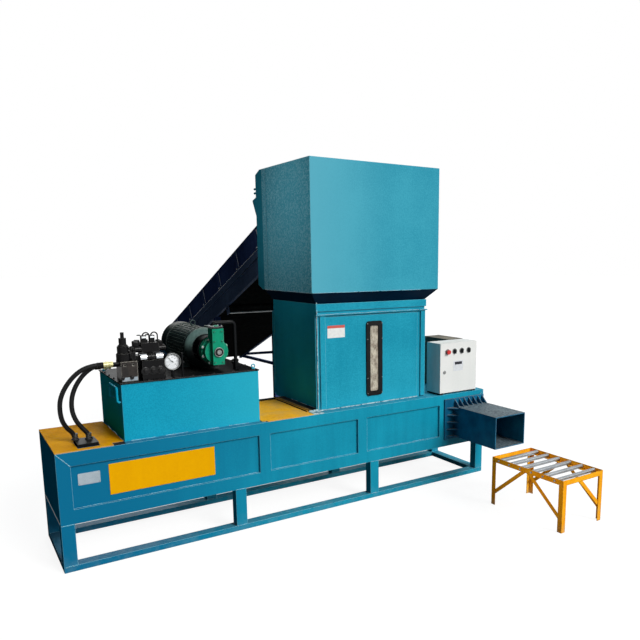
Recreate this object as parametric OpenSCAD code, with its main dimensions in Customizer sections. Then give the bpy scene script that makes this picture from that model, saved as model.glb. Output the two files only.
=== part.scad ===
/* [Bed] */
// Length of the bed
bed_l = 3660; // [3560:10:3900]
// Width of the bed over its side walls
bed_w = 720; // [700:5:760]
// Height of the bed's top above the floor
bed_h = 800; // [790:5:840]
// Height of the bed's underside above the floor
under_h = 320; // [280:5:330]
// Depth of the raised bars on the side walls
bar_t = 18; // [12:1:20]
// Thickness of the side wall plates
wall_t = 12; // [8:1:14]
// Height of the upper raised bar
top_bar_h = 94; // [70:2:100]
// Height of the lower raised bar
low_bar_h = 98; // [60:2:104]
// Width of the raised post at the left end
end_post_w = 86; // [60:2:100]
// Width of the raised posts between the panels
mid_post_w = 90; // [60:2:110]
// Distance of the first middle post from the left end
post_a_x = 1384; // [1300:4:1420]
// Distance of the second middle post from the left end
post_b_x = 2260; // [2100:4:2400]
// Distance of the outlet post's near side from the bed's right end
post_end = 530; // [510:2:560]
// Width of the outlet post
post_c_w = 46; // [30:2:50]
// Thickness of the bed's bottom and deck plates
deck_t = 12; // [8:1:14]
// Thickness of the two end plates
end_t = 20; // [16:1:24]

/* [Undercarriage] */
// Height of the floor rails
rail_h = 40; // [30:1:60]
// Width of the floor rails
rail_w = 80; // [60:2:100]
// Width of each leg along the bed
leg_w = 84; // [60:2:100]
// Depth of each leg across the bed
leg_d = 70; // [50:2:80]
// Wall of the legs
leg_t = 6; // [4:1:10]
// Place of the second leg
leg_b_x = 1182; // [1100:2:1300]
// Place of the third leg
leg_c_x = 2382; // [2300:2:2500]

/* [Outlet] */
// Distance of the outlet duct's near side from the bed's right end
noz_end = 372; // [368:1:380]
// Outer width of the outlet duct
noz_w = 350; // [330:2:352]
// Height of the duct's underside above the floor
noz_z = 405; // [400:1:415]
// Outer height of the outlet duct
noz_h = 280; // [260:2:284]
// Length of the outlet duct in front of the bed
noz_l = 548; // [450:4:600]
// Wall of the outlet duct
noz_t = 8; // [6:1:10]
// Thickness of the outlet flange
noz_flange_t = 14; // [10:1:20]
// Height of the gussets beside and above the duct
gusset_h = 70; // [50:2:72]
// Thickness of the gussets
gusset_t = 8; // [5:1:12]
// Number of gussets above the duct
top_gussets = 7; // [4:1:9]
// Number of gussets beside the duct
side_gussets = 5; // [3:1:6]

/* [Rams] */
// Running gap between a ram and its chamber
ram_gap = 2; // [1:0.5:4]
// Thickness of the chamber liner
liner_t = 10; // [6:1:12]
// Length of the main ram with its apron
ram_l = 1340; // [1300:5:1360]
// Thickness of the main ram's face
ram_face_t = 30; // [20:1:40]
// Thickness of the main ram's skirts
ram_skin_t = 15; // [10:1:18]
// Place of the main ram's face at rest
ram_rest_x = 1930; // [1915:1:1935]
// Bore radius of the main cylinder
main_bore_r = 70; // [60:1:78]
// Wall of the main cylinder
main_wall = 20; // [14:1:22]
// Length of the main cylinder
main_cyl_l = 1660; // [1620:5:1690]
// Radius of the main rod
main_rod_r = 45; // [35:1:50]
// Bore radius of the bagging cylinder
bag_bore_r = 55; // [48:1:60]
// Wall of the bagging cylinder
bag_wall = 13; // [10:1:16]
// Radius of the bagging rod
bag_rod_r = 32; // [25:1:38]
// Stroke of the bagging ram
bag_stroke = 1180; // [1100:5:1200]
// Length of the bagging ram's head
bag_head_l = 140; // [100:5:150]
// Radial clearance of rods, shafts and pins
fit = 0.05; // [0.02:0.01:0.1]

/* [Tower and hopper] */
// Place of the tower along the bed
tow_x = 1940; // [1936:1:1950]
// Width of the tower along the bed
tow_w = 1080; // [1060:4:1100]
// Distance of the tower's front from the bed's front
tow_y = 94; // [80:2:110]
// Depth of the tower
tow_d = 780; // [760:4:800]
// Height of the tower above the bed
tow_h = 860; // [840:5:900]
// Thickness of the sheet metal of tower and hopper
sheet_t = 6; // [4:1:8]
// Width of the flat bars round the tower's front panel
tow_bar_w = 48; // [30:2:60]
// Thickness of the flat bars and the front panel
tow_bar_t = 12; // [8:1:16]
// Flare of the hopper beyond the tower
flare = 82; // [60:2:90]
// Height of the tapered ring under the hopper
taper_h = 90; // [80:2:100]
// Height of the hopper box
hop_h = 1010; // [980:5:1060]
// Depth of the shallow pan behind the hopper
pan_d = 126; // [110:2:140]
// Chamfer of the pan's back edges
pan_chamfer = 36; // [20:2:50]
// Width of the window with its frame
win_w = 160; // [140:2:180]
// Height of the window with its frame
win_h = 630; // [560:5:660]
// Width of the window's rubber frame
win_rim = 38; // [25:1:45]
// Place of the window from the tower's left side
win_x = 461; // [400:1:520]
// Height of the window's lower edge above the bed
win_z = 70; // [60:2:90]

/* [Conveyor] */
// Slope of the conveyor in degrees
slope = 22; // [21:0.5:23]
// Distance between the pulley centres
conv_l = 3800; // [3700:10:3860]
// Width over the side channels
conv_w = 1068; // [1050:2:1070]
// Height of the side channels
chan_h = 160; // [150:2:170]
// Width of the side channels
chan_b = 30; // [26:1:40]
// Thickness of the channels' steel
chan_t = 6; // [5:1:8]
// Radius of the conveyor pulleys
pulley_r = 80; // [74:1:82]
// Radius of the pulley shafts
shaft_r = 20; // [16:1:24]
// Thickness of the belt
belt_t = 8; // [6:1:9]
// Gap between the belt's edge and the channels
belt_gap = 10; // [6:1:20]
// Height of the cleats on the belt
cleat_h = 30; // [20:2:40]
// Number of cleats on the carrying run
cleats = 12; // [8:1:16]
// Height of the sideboards
board_h = 184; // [160:2:188]
// Thickness of the sideboards
board_t = 4; // [3:1:6]
// Number of stiffeners on each sideboard
stiffeners = 7; // [4:1:9]
// Radius of the return roller
ret_r = 30; // [24:1:34]
// Side of the square leg tubes
conv_tube = 60; // [50:2:70]
// Distance of the tall legs from the bed's front
leg_tall_y = 2340; // [2200:10:2500]
// Distance of the short legs from the bed's front
leg_short_y = 3050; // [2900:10:3120]
// Thickness of the struts that carry the low end
strut_t = 34; // [24:2:44]

/* [Power pack] */
// Place of the tank along the bed
tank_x = 438; // [430:1:450]
// Length of the tank
tank_l = 980; // [960:4:990]
// Distance of the tank's front from the bed's front
tank_y = 58; // [50:1:64]
// Depth of the tank
tank_d = 662; // [640:2:664]
// Height of the tank
tank_h = 390; // [360:5:420]
// Thickness of the tank's cover plate
lid_t = 8; // [6:1:10]
// Overhang of the tank's cover plate
lid_edge = 6; // [4:1:8]
// Place of the motor's axis from the tank's left end
motor_dx = 682; // [670:2:690]
// Height of the motor's axis above the cover
motor_z = 154; // [152:1:170]
// Radius of the motor over its fins
motor_r = 150; // [140:1:151]
// Radius of the motor's drive flange
flange_r = 152; // [140:1:153]
// Number of cooling fins
fins = 36; // [24:2:44]
// Distance of the motor's flange from the tank's front
motor_dy = 312; // [300:2:330]
// Length of the finned body
motor_l = 390; // [360:5:420]
// Length of the fan cowl
cowl_l = 130; // [110:2:150]
// Radius of the motor's shaft
motor_shaft_r = 24; // [18:1:28]
// Radius of the pump's body
pump_r = 96; // [80:1:100]
// Width of the pump's port head
head_w = 84; // [70:2:96]
// Height of the pump's port head
head_h = 262; // [230:2:280]
// Radius of the pressure gauge
gauge_r = 58; // [50:1:62]
// Place of the gauge from the tank's left end
gauge_dx = 361; // [355:1:372]
// Height of the gauge's centre above the cover
gauge_z = 109; // [100:1:120]
// Side of the manifold block
mani_w = 106; // [96:2:110]
// Depth of the manifold block
mani_d = 140; // [130:2:150]
// Height of the manifold block
mani_h = 137; // [125:1:145]

/* [Control cabinet] */
// Width of the cabinet
cab_w = 430; // [400:5:440]
// Depth of the cabinet
cab_d = 190; // [170:5:200]
// Height of the cabinet
cab_h = 450; // [420:5:500]
// Depth of the door
door_t = 18; // [14:1:24]
// Sheet thickness of the cabinet
cab_t = 3; // [2:0.5:4]
// Height of the cabinet's feet
cab_feet = 15; // [10:1:25]
// Gap round the door
door_gap = 0.3; // [0.2:0.1:1]
// Pitch of the four controls
knob_pitch = 84; // [70:2:90]
// Height of the controls above the cabinet's bottom
knob_z = 372; // [340:2:380]
// Radius of the control bezels
bezel_r = 20; // [16:1:22]
// Radius of the control stems
stem_r = 8; // [6:0.5:10]
// Width of the rear starter box
box_w = 178; // [160:2:190]
// Depth of the rear starter box
box_d = 350; // [320:5:370]

/* [Roller table] */
// Distance of the table's near rail before the duct's near side
tab_back = 148; // [138:1:158]
// Width of the table
tab_w = 455; // [440:1:470]
// Gap between the bed's front and the table
tab_gap = 670; // [620:5:700]
// Length of the table
tab_l = 730; // [700:5:760]
// Height of the table's rails
tab_h = 404; // [380:1:404]
// Leg length of the angle bars
angle_b = 40; // [30:1:46]
// Thickness of the angle bars
angle_t = 4; // [3:0.5:6]
// Number of table rollers
tab_rollers = 6; // [6:1:6]
// Radius of the table rollers
roller_r = 16; // [12:1:18]
// Radius of the roller axles
axle_r = 6; // [5:0.5:8]
// Wall of the roller tubes
roller_t = 3; // [2:0.5:4]

/* [Hidden] */
$fn = 64;

// The bed's inside and the press chamber
post_c_x = bed_l - post_end;
noz_x = bed_l - noz_end;
side_t = bar_t + wall_t;
in_y = side_t + liner_t;
in_w = bed_w - 2 * in_y;
cham_x = noz_x + noz_t;
cham_w = noz_w - 2 * noz_t;
cham_z = noz_z + noz_t;
cham_h = noz_h - 2 * noz_t;
cyl_z = cham_z + cham_h / 2;
roof_l = 288;
leg_last_x = bed_l - leg_w;
leg_xs = [0, leg_b_x, leg_c_x, leg_last_x];
panel_z = under_h + low_bar_h;

// The main ram and its cylinder
ram_w = in_w - 2 * ram_gap;
ram_h = cham_h - 2 * ram_gap;
ram_z = cham_z + ram_gap;
ram_tail_x = ram_rest_x - ram_l;
main_r = main_bore_r + main_wall;
gland_l = 60;
piston_l = 80;
piston_gap = 20;
boss_l = 60;

// The bagging ram and its cylinder
bag_x = cham_x + cham_w / 2;
bag_face_y = bed_w - in_y + 4;
bag_r = bag_bore_r + bag_wall;
house_t = 12;
house_y = bed_w + 160;
bag_gland_l = 60;
bag_piston_l = 50;
bag_end = 30;
bag_l = bag_gland_l + bag_stroke + bag_piston_l + bag_end + 20;

// The tower, the hopper and the conveyor
tow_top = bed_h + tow_h;
hop_z = tow_top + taper_h;
hop_top = hop_z + hop_h;
hop_x = tow_x - flare;
hop_w = tow_w + 2 * flare;
hop_y = tow_y - flare;
hop_back = tow_y + tow_d - 10;
hop_d = hop_back - hop_y;
feed_x = tow_x + 12;
feed_w = tow_w - 24;
seal_w = 34;
conv_x = tow_x + (tow_w - conv_w) / 2;
chan_low = 95;
head_y = 680;
head_z = tow_top + 516;
conv_end = 110;
belt_w = conv_w - 2 * chan_b - 2 * belt_gap;
belt_x = conv_x + chan_b + belt_gap;
board_z = chan_h - chan_low + 55;
board_lip = 12;
ret_y = 1485;
ret_z = -pulley_r - belt_t - 0.6 - ret_r;
ret_pin_r = 10;
tie_z = -165;
mouth_z = 1930;
mouth_h = 530;
tie_bar_z = 180;
low_y = head_y + conv_l * cos(slope);
low_z = head_z - conv_l * sin(slope);
strut_a = [[leg_short_y + 60, 846], [low_y - 103, low_z - 48]];
strut_b = [[leg_short_y + 60, 693], [low_y - 3, low_z - 86]];

// The power pack
lid_z = bed_h + tank_h + lid_t;
motor_x = tank_x + motor_dx;
motor_axis_z = lid_z + motor_z;
motor_y = tank_y + motor_dy;
shield_l = 50;
fin_h = 14;
cowl_y = motor_y + shield_l + motor_l;
bell_l = 165;
bell_y = motor_y - bell_l;
spigot_l = 20;
pump_y = tank_y + 2;
head_d = 90;
loop_y = pump_y + head_d + 28;
port_x = motor_x + 4;
port_top = motor_axis_z + pump_r + 16;
gauge_x = tank_x + gauge_dx;
gauge_y = 96;
gauge_c = lid_z + gauge_z;
mani_x = tank_x + 16;
mani_y = 90;
valve_x = mani_x + mani_w + 8;
port_y = [mani_y + 35, mani_y + 105];
port_z = [lid_z + 124, lid_z + 104];

// The cabinet
cab_x = post_c_x;
cab_z = bed_h + cab_feet;
hinge_x = cab_x + cab_w + 7;
hinge_y = door_t;
hinge_r = 6;
hinge_pin_r = 3;
hinge_l = 60;
first_knob_x = cab_x + 82;
knob_c = cab_z + knob_z;
lock_x = cab_x + 51;
lock_z = cab_z + 190;
lock_r = 12;

// The roller table
tab_x = noz_x - tab_back;
tab_y = -tab_gap - tab_l;
roller_z = tab_h - 18;
roller_pitch = 115;
roller_y0 = tab_y + tab_l - 77;
brace_w = 30;

// The hoses' routes, from the manifold to the port block
hose_r = 15;
outer_route = [[350, 125, 1322], [290, 125, 1322], [222, 128, 1302], [162, 134, 1256], [112, 142, 1190],
    [82, 152, 1118], [75, 164, 1042], [86, 180, 968], [112, 198, 914], [142, 210, 876], [158, 214, 838]];
inner_route = [[362, 195, 1302], [305, 195, 1302], [246, 193, 1266], [198, 190, 1210], [165, 187, 1146],
    [150, 184, 1080], [152, 182, 1014], [172, 182, 952], [204, 184, 902], [230, 185, 866], [238, 185, 838]];
block_x = 148;
block_w = 130;
block_y = 70;
block_d = 165;
block_h = 24;

// Everything is measured from the bed's front left corner, and the origin is under the front rail's middle
module at_bed() {
    translate([-bed_l / 2, -rail_w / 2, 0]) children();
}

module block(p, s) {
    translate(p) cube(s);
}

module rod_x(p, r, l) {
    translate(p) rotate([0, 90, 0]) cylinder(r = r, h = l);
}

module rod_y(p, r, l) {
    translate(p) rotate([-90, 0, 0]) cylinder(r = r, h = l);
}

module rod_z(p, r, l) {
    translate(p) cylinder(r = r, h = l);
}

// A square or flat bar between two points of one plane across X
module bar_yz(x, w, a, b, t) {
    d = b - a;
    n = norm(d);
    s = [-d[1], d[0]] * (t / 2 / n);
    translate([x, 0, 0]) rotate([90, 0, 90]) linear_extrude(w) polygon([a + s, b + s, b - s, a - s]);
}

// A plate in the YZ plane, from a list of points
module plate_x(x, t, pts) {
    translate([x, 0, 0]) rotate([90, 0, 90]) linear_extrude(t) polygon(pts);
}

// A plate in the XY plane, from a list of points
module plate_z(z, t, pts) {
    translate([0, 0, z]) linear_extrude(t) polygon(pts);
}

// A pipe through a list of points, of straight lengths and quarter bends, with every turn square
function unit(v) = v / norm(v);
module pipe_run(pts, r) {
    bend = 2 * r;
    n = len(pts);
    for (i = [0 : n - 2]) {
        d = unit(pts[i + 1] - pts[i]);
        a = pts[i] + (i > 0 ? bend : 0) * d;
        l = norm(pts[i + 1] - a) - (i < n - 2 ? bend : 0);
        translate(a) rotate([0, acos(d[2]), atan2(d[1], d[0])]) cylinder(r = r, h = l);
    }
    if (n > 2) for (i = [1 : n - 2]) {
        a = unit(pts[i] - pts[i - 1]);
        b = unit(pts[i + 1] - pts[i]);
        c = pts[i] + bend * (b - a);
        z = cross(a, b);
        multmatrix([[-b[0], a[0], z[0], c[0]], [-b[1], a[1], z[1], c[1]], [-b[2], a[2], z[2], c[2]], [0, 0, 0, 1]])
            rotate_extrude(angle = 90) translate([bend, 0]) circle(r);
    }
}

// A hose swept along its route, with rings square to the route
function route_dir(p, i) = i == 0 ? [-1, 0, 0] : i == len(p) - 1 ? [0, 0, -1] : unit(p[i + 1] - p[i - 1]);
function ring(p, i, r, n) = let(t = route_dir(p, i), a = unit(cross(t, [0, 1, 0])), b = cross(t, a))
    [for (k = [0 : n - 1]) p[i] + r * (cos(360 * k / n) * a + sin(360 * k / n) * b)];

module hose(p, r, n) {
    m = len(p);
    pts = [for (i = [0 : m - 1]) each ring(p, i, r, n)];
    sides = [for (i = [0 : m - 2], k = [0 : n - 1])
        [i * n + k, (i + 1) * n + k, (i + 1) * n + (k + 1) % n, i * n + (k + 1) % n]];
    caps = [[for (k = [0 : n - 1]) k], [for (k = [n - 1 : -1 : 0]) (m - 1) * n + k]];
    polyhedron(points = pts, faces = concat(sides, caps));
}

module undercarriage() {
    color("#1d94b8") at_bed() {
        for (y = [0, bed_w - rail_w]) block([0, y, 0], [bed_l, rail_w, rail_h]);
        for (x = [0, leg_last_x]) block([x, rail_w, 0], [leg_w, bed_w - 2 * rail_w, rail_h]);
        for (x = leg_xs, y = [0, bed_w - leg_d]) difference() {
            block([x, y, rail_h], [leg_w, leg_d, under_h - rail_h]);
            block([x + leg_t, y + leg_t, rail_h - 1],
                [leg_w - 2 * leg_t, leg_d - 2 * leg_t, under_h - rail_h + 2]);
        }
    }
}

// The raised bars and posts of a side wall, drawn in its own plane
module wall_bars(t) {
    block([0, 0, bed_h - top_bar_h], [bed_l, t, top_bar_h]);
    block([0, 0, under_h], [bed_l, t, low_bar_h]);
    for (p = [[0, end_post_w], [post_a_x, mid_post_w], [post_b_x, mid_post_w], [post_c_x, bed_l - post_c_x]])
        block([p[0], 0, panel_z], [p[1], t, bed_h - top_bar_h - panel_z]);
}

module chamber_hole(y, d) {
    block([cham_x, y, cham_z], [cham_w, d, cham_h]);
}

module front_wall() {
    color("#1d94b8") at_bed() difference() {
        union() {
            wall_bars(bar_t);
            block([0, bar_t, under_h], [bed_l, wall_t, bed_h - under_h]);
        }
        chamber_hole(-1, side_t + 2);
    }
}

// The rear wall carries the box that guides the bagging ram
module rear_wall() {
    color("#1d94b8") at_bed() {
        difference() {
            union() {
                translate([0, bed_w - bar_t, 0]) wall_bars(bar_t);
                block([0, bed_w - side_t, under_h], [bed_l, wall_t, bed_h - under_h]);
            }
            chamber_hole(bed_w - side_t - 1, side_t + 2);
        }
        difference() {
            block([cham_x - house_t, bed_w, cham_z - house_t],
                [cham_w + 2 * house_t, house_y - bed_w, cham_h + 2 * house_t]);
            chamber_hole(bed_w - 1, house_y - bed_w - 20 + 1);
            rod_y([bag_x, house_y - 40, cyl_z], bag_rod_r + 8, 60);
        }
    }
}

// The bottom plate, the chamber's floor on its ribs, the side liners and the chamber's roof
module bed_floor() {
    roof_x = cham_x - roof_l;
    color("#3c4850") at_bed() {
        block([0, side_t, under_h], [bed_l, bed_w - 2 * side_t, deck_t]);
        block([end_t, side_t, cham_z - deck_t], [bed_l - 2 * end_t, bed_w - 2 * side_t, deck_t]);
        for (x = [500 : 500 : bed_l - 400])
            block([x, side_t, under_h + deck_t], [deck_t, bed_w - 2 * side_t, cham_z - under_h - 2 * deck_t]);
        for (y = [side_t, bed_w - in_y]) difference() {
            block([ram_tail_x, y, cham_z], [bed_l - end_t - ram_tail_x, liner_t, cham_h]);
            chamber_hole(y - 1, liner_t + 2);
        }
        block([roof_x, side_t, cham_z + cham_h], [bed_l - end_t - roof_x, bed_w - 2 * side_t, deck_t]);
        for (x = [roof_x + 8, cham_x - 60, cham_x + cham_w + 8 - deck_t]) block([x, side_t, cham_z + cham_h + deck_t],
            [deck_t, bed_w - 2 * side_t, bed_h - cham_z - cham_h - 2 * deck_t]);
    }
}

// The deck plates round the feed opening, with a weld gap between them, and the two end plates
module top_deck() {
    gap = 0.4;
    z = bed_h - deck_t;
    feed_y = tow_y + 12;
    feed_d = bed_w - in_y - feed_y;
    w = bed_w - 2 * side_t;
    color("#1d94b8") at_bed() {
        difference() {
            block([0, side_t, z], [feed_x - gap, w, deck_t]);
            for (x = [block_x + 30, block_x + 90]) rod_z([x, block_y + 60, z - 1], 14, deck_t + 2);
        }
        block([feed_x + feed_w + gap, side_t, z], [bed_l - feed_x - feed_w - gap, w, deck_t]);
        block([feed_x, side_t, z], [feed_w, feed_y - side_t, deck_t]);
        block([feed_x, feed_y + feed_d, z], [feed_w, bed_w - side_t - feed_y - feed_d, deck_t]);
        for (x = [0, bed_l - end_t])
            block([x, side_t, under_h + deck_t], [end_t, w, z - gap - under_h - deck_t]);
    }
}

cover_t = 6;
module left_cover() {
    color("#e6a41c") at_bed() difference() {
        block([0, 0, bed_h], [tank_x - 8, bed_w, cover_t]);
        block([block_x - 4, block_y - 30, bed_h - 1], [block_w + 8, block_d + 34, cover_t + 2]);
        block([tank_x - 82, -1, bed_h - 1], [80, 58, cover_t + 2]);
    }
}

module right_cover() {
    x = tank_x + tank_l + 6;
    color("#e6a41c") at_bed() difference() {
        block([x, 0, bed_h], [tow_x - x, bed_w, cover_t]);
        block([x - 1, -1, bed_h - 1], [34, 30, cover_t + 2]);
    }
}

module main_barrel() {
    head_x = end_t + main_cyl_l;
    color("#20262b") at_bed() difference() {
        union() {
            block([end_t, bed_w / 2 - 120, cyl_z - 110], [30, 240, 220]);
            rod_x([end_t, bed_w / 2, cyl_z], main_r, main_cyl_l);
            rod_x([head_x - 30, bed_w / 2, cyl_z], main_r + 16, 30);
            rod_x([head_x, bed_w / 2, cyl_z], main_r + 4, gland_l);
            rod_z([block_x + 30, bed_w / 2, cyl_z + main_r - 10], 26, 34);
            rod_y([head_x - 90, bed_w / 2 + main_r - 10, cyl_z], 26, 34);
        }
        rod_x([end_t + 40, bed_w / 2, cyl_z], main_bore_r, main_cyl_l - 40 - 10);
        rod_x([head_x - 20, bed_w / 2, cyl_z], main_rod_r + fit, gland_l + 30);
    }
}

module main_rod() {
    piston_x = end_t + 40 + piston_gap;
    color("#c8ccd0") at_bed() {
        rod_x([piston_x, bed_w / 2, cyl_z], main_bore_r - fit, piston_l);
        rod_x([piston_x, bed_w / 2, cyl_z], main_rod_r, ram_rest_x - ram_face_t - boss_l - piston_x);
    }
}

// The main ram: a thick face, a long apron on top and two side skirts, open below and behind
module main_ram() {
    y = in_y + ram_gap;
    face_x = ram_rest_x - ram_face_t;
    color("#3a4046") at_bed() {
        block([face_x, y, ram_z], [ram_face_t, ram_w, ram_h]);
        block([ram_tail_x, y, ram_z + ram_h - ram_skin_t], [ram_l - ram_face_t, ram_w, ram_skin_t]);
        for (s = [y, y + ram_w - ram_skin_t])
            block([ram_tail_x, s, ram_z], [ram_l - ram_face_t, ram_skin_t, ram_h - ram_skin_t]);
        rod_x([face_x - boss_l, bed_w / 2, cyl_z], main_rod_r + 16, boss_l);
        for (s = [y + 120, y + ram_w - 120 - ram_skin_t])
            block([face_x - 120, s, ram_z], [120, ram_skin_t, ram_h - ram_skin_t]);
    }
}

module bag_barrel() {
    color("#20262b") at_bed() difference() {
        union() {
            block([bag_x - 95, house_y, cyl_z - 95], [190, 24, 190]);
            rod_y([bag_x, house_y, cyl_z], bag_r, bag_l);
            for (y = [house_y + 100, house_y + bag_l - 50]) rod_z([bag_x, y, cyl_z + bag_r - 10], 20, 34);
        }
        rod_y([bag_x, house_y + bag_gland_l, cyl_z], bag_bore_r, bag_l - bag_gland_l - bag_end);
        rod_y([bag_x, house_y - 1, cyl_z], bag_rod_r + fit, bag_gland_l + 2);
    }
}

module bag_rod() {
    y1 = house_y + bag_l - bag_end - 10;
    y0 = bag_face_y + bag_head_l;
    color("#c8ccd0") at_bed() {
        rod_y([bag_x, y0, cyl_z], bag_rod_r, y1 - y0);
        rod_y([bag_x, y1 - bag_piston_l, cyl_z], bag_bore_r - fit, bag_piston_l);
    }
}

module bag_pusher() {
    x = cham_x + ram_gap;
    w = cham_w - 2 * ram_gap;
    color("#3a4046") at_bed() difference() {
        block([x, bag_face_y, ram_z], [w, bag_head_l, ram_h]);
        for (s = [x + 12, x + w / 2 + 50])
            block([s, bag_face_y + 24, ram_z + 12], [w / 2 - 62, bag_head_l, ram_h - 24]);
    }
}

// The lower chute: four walls, its raised front panel, the bars round it, two ledges and corner strips
module tower_shell() {
    bar_x = tow_x + 24;
    bars_w = tow_w + 16 - 2 * 24 + 8;
    bar_z = bed_h + cover_t;
    ledge_h = 60;
    flange_z = tow_top - ledge_h - 34;
    bar_h = flange_z - bar_z;
    panel_w = bars_w - 2 * tow_bar_w - seal_w;
    win = [tow_x + win_x, bed_h + win_z];
    back = tow_y + tow_d;
    color("#1c7fa0") at_bed() difference() {
        union() {
            difference() {
                block([tow_x, tow_y, bed_h], [tow_w, tow_d, tow_h]);
                block([tow_x + sheet_t, tow_y + sheet_t, bed_h - 1],
                    [tow_w - 2 * sheet_t, tow_d - 2 * sheet_t, tow_h + 2]);
            }
            for (x = [bar_x, bar_x + bars_w - tow_bar_w])
                block([x, tow_y - tow_bar_t, bar_z], [tow_bar_w, tow_bar_t, bar_h]);
            block([bar_x + tow_bar_w, tow_y - tow_bar_t / 2, bar_z], [panel_w, tow_bar_t / 2, bar_h - 12]);
            block([tow_x - 10, tow_y - 12, tow_top - ledge_h], [tow_w + 20, 12, ledge_h]);
            block([tow_x - 16, tow_y - 22, flange_z], [tow_w + 32, 22, 8]);
            for (y = [tow_y, back - 8])
                block([tow_x - 14, y, bar_z + 10], [14, 8, flange_z - bar_z - 14]);
            block([tow_x, bed_w, bed_h], [tow_w, back - bed_w, sheet_t]);
            plate_x(tow_x + sheet_t, tow_w - 2 * sheet_t, [[bed_w - in_y, bed_h], [bed_w - in_y + 9, bed_h],
                [back - sheet_t, bed_h + 260], [back - sheet_t, bed_h + 275]]);
        }
        block([win[0] + win_rim, tow_y - tow_bar_t - 1, win[1] + win_rim],
            [win_w - 2 * win_rim, tow_bar_t + sheet_t + 2, win_h - 2 * win_rim]);
    }
}

// A flat rounded rectangle standing on the tower's front
module rounded_xz(x, y, z, w, d, h, r) {
    translate([x, y + d, z]) rotate([90, 0, 0]) linear_extrude(d) union() {
        translate([r, 0]) square([w - 2 * r, h]);
        translate([0, r]) square([w, h - 2 * r]);
        for (cx = [r, w - r], cz = [r, h - r]) translate([cx, cz]) circle(r);
    }
}

win_t = 10;
module window_frame() {
    x = tow_x + win_x;
    y = tow_y - tow_bar_t / 2 - win_t;
    z = bed_h + win_z;
    color("#17191b") at_bed() {
        difference() {
            rounded_xz(x, y, z, win_w, win_t, win_h, 26);
            rounded_xz(x + win_rim, y - 1, z + win_rim, win_w - 2 * win_rim, win_t + 2, win_h - 2 * win_rim, 12);
        }
        for (sx = [x + 12, x + win_w - 12]) rod_y([sx, y - 4, z + win_h / 2], 5, 4);
    }
}

module window_pane() {
    x = tow_x + win_x + win_rim;
    z = bed_h + win_z + win_rim;
    color("#c9c4b8") at_bed() difference() {
        block([x + 0.2, tow_y - 6, z + 0.2], [win_w - 2 * win_rim - 0.4, 5, win_h - 2 * win_rim - 0.4]);
    }
}

// The ring that widens from the tower to the hopper
module taper_block(o) {
    z0 = tow_top - o / sheet_t;
    z1 = hop_z + o / sheet_t;
    intersection() {
        plate_x(hop_x - 1, hop_w + 2, [[tow_y + o, z0], [tow_y + tow_d - o, z0], [hop_back - o, z1], [hop_y + o, z1]]);
        translate([0, hop_back + 20, 0]) rotate([90, 0, 0]) linear_extrude(hop_d + 40)
            polygon([[tow_x + o, z0], [tow_x + tow_w - o, z0], [hop_x + hop_w - o, z1], [hop_x + o, z1]]);
    }
}

module taper_ring() {
    color("#155f7a") at_bed() difference() {
        taper_block(0);
        taper_block(sheet_t);
    }
}

module mouth(y0, y1) {
    block([conv_x - board_lip, y0, mouth_z], [conv_w + 2 * board_lip, y1 - y0, mouth_h]);
}

module hopper_shell() {
    color("#2b93b5") at_bed() difference() {
        union() {
            block([hop_x, hop_y, hop_z], [hop_w, hop_d, hop_h]);
            block([hop_x - 5, hop_back - 80, hop_z + 6], [hop_w + 10, 14, hop_h - 12]);
        }
        block([hop_x + sheet_t, hop_y + sheet_t, hop_z - 1],
            [hop_w - 2 * sheet_t, hop_d - 2 * sheet_t, hop_h - sheet_t + 1]);
        mouth(hop_back - sheet_t - 1, hop_back + 1);
    }
}

// The shallow pan with chamfered back edges, open to the hopper and to the conveyor
module hopper_pan() {
    c = pan_chamfer;
    pan_y = hop_back + pan_d;
    function pan_pts(o) = [[hop_back - (o > 0 ? 1 : 0), hop_z + o], [pan_y - 2.4 * c, hop_z + o],
        [pan_y - o, hop_z + c + o / 2], [pan_y - o, hop_top - c - o / 2], [pan_y - 2.4 * c, hop_top - o],
        [hop_back - (o > 0 ? 1 : 0), hop_top - o]];
    color("#2b93b5") at_bed() {
        difference() {
            plate_x(hop_x, hop_w, pan_pts(0));
            plate_x(hop_x + sheet_t, hop_w - 2 * sheet_t, pan_pts(sheet_t));
            mouth(pan_y - sheet_t - 1, pan_y + 1);
        }
        for (z = [hop_top - 150, hop_top - 185]) rod_y([hop_x + 11, pan_y, z], 9, 46);
        plate_x(hop_x + 2, 8, [[pan_y, hop_top - 390], [pan_y + 80, hop_top - 246], [pan_y, hop_top - 220]]);
    }
}

// The outlet duct, a plain box section
module outlet_duct() {
    color("#0f3c58") at_bed() difference() {
        block([noz_x, -noz_l, noz_z], [noz_w, noz_l, noz_h]);
        chamber_hole(-noz_l - 1, noz_l + 2);
    }
}

// The flange welded round the duct, with its gussets
module outlet_flange() {
    f0 = post_c_x + post_c_w + 6;
    f1 = noz_x + noz_w + 14;
    flange_top = noz_z + noz_h + gusset_h + 2;
    side_l = noz_x - f0 - 20;
    color("#0f3c58") at_bed() {
        difference() {
            block([f0, -noz_flange_t, noz_z - 20], [f1 - f0, noz_flange_t, flange_top - noz_z + 20]);
            block([noz_x, -noz_flange_t - 1, noz_z], [noz_w, noz_flange_t + 2, noz_h]);
        }
        for (i = [0 : side_gussets - 1])
            plate_z(noz_z + 6 + i * (noz_h - 12 - gusset_t) / (side_gussets - 1), gusset_t,
                [[noz_x, -noz_flange_t], [noz_x - side_l, -noz_flange_t], [noz_x, -noz_flange_t - gusset_h]]);
        for (i = [0 : top_gussets - 1])
            plate_x(noz_x + 4 + i * (noz_w - 8 - gusset_t) / (top_gussets - 1), gusset_t,
                [[-noz_flange_t, noz_z + noz_h], [-noz_flange_t, noz_z + noz_h + gusset_h - 4],
                [-noz_flange_t - gusset_h, noz_z + noz_h]]);
    }
}

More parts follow.
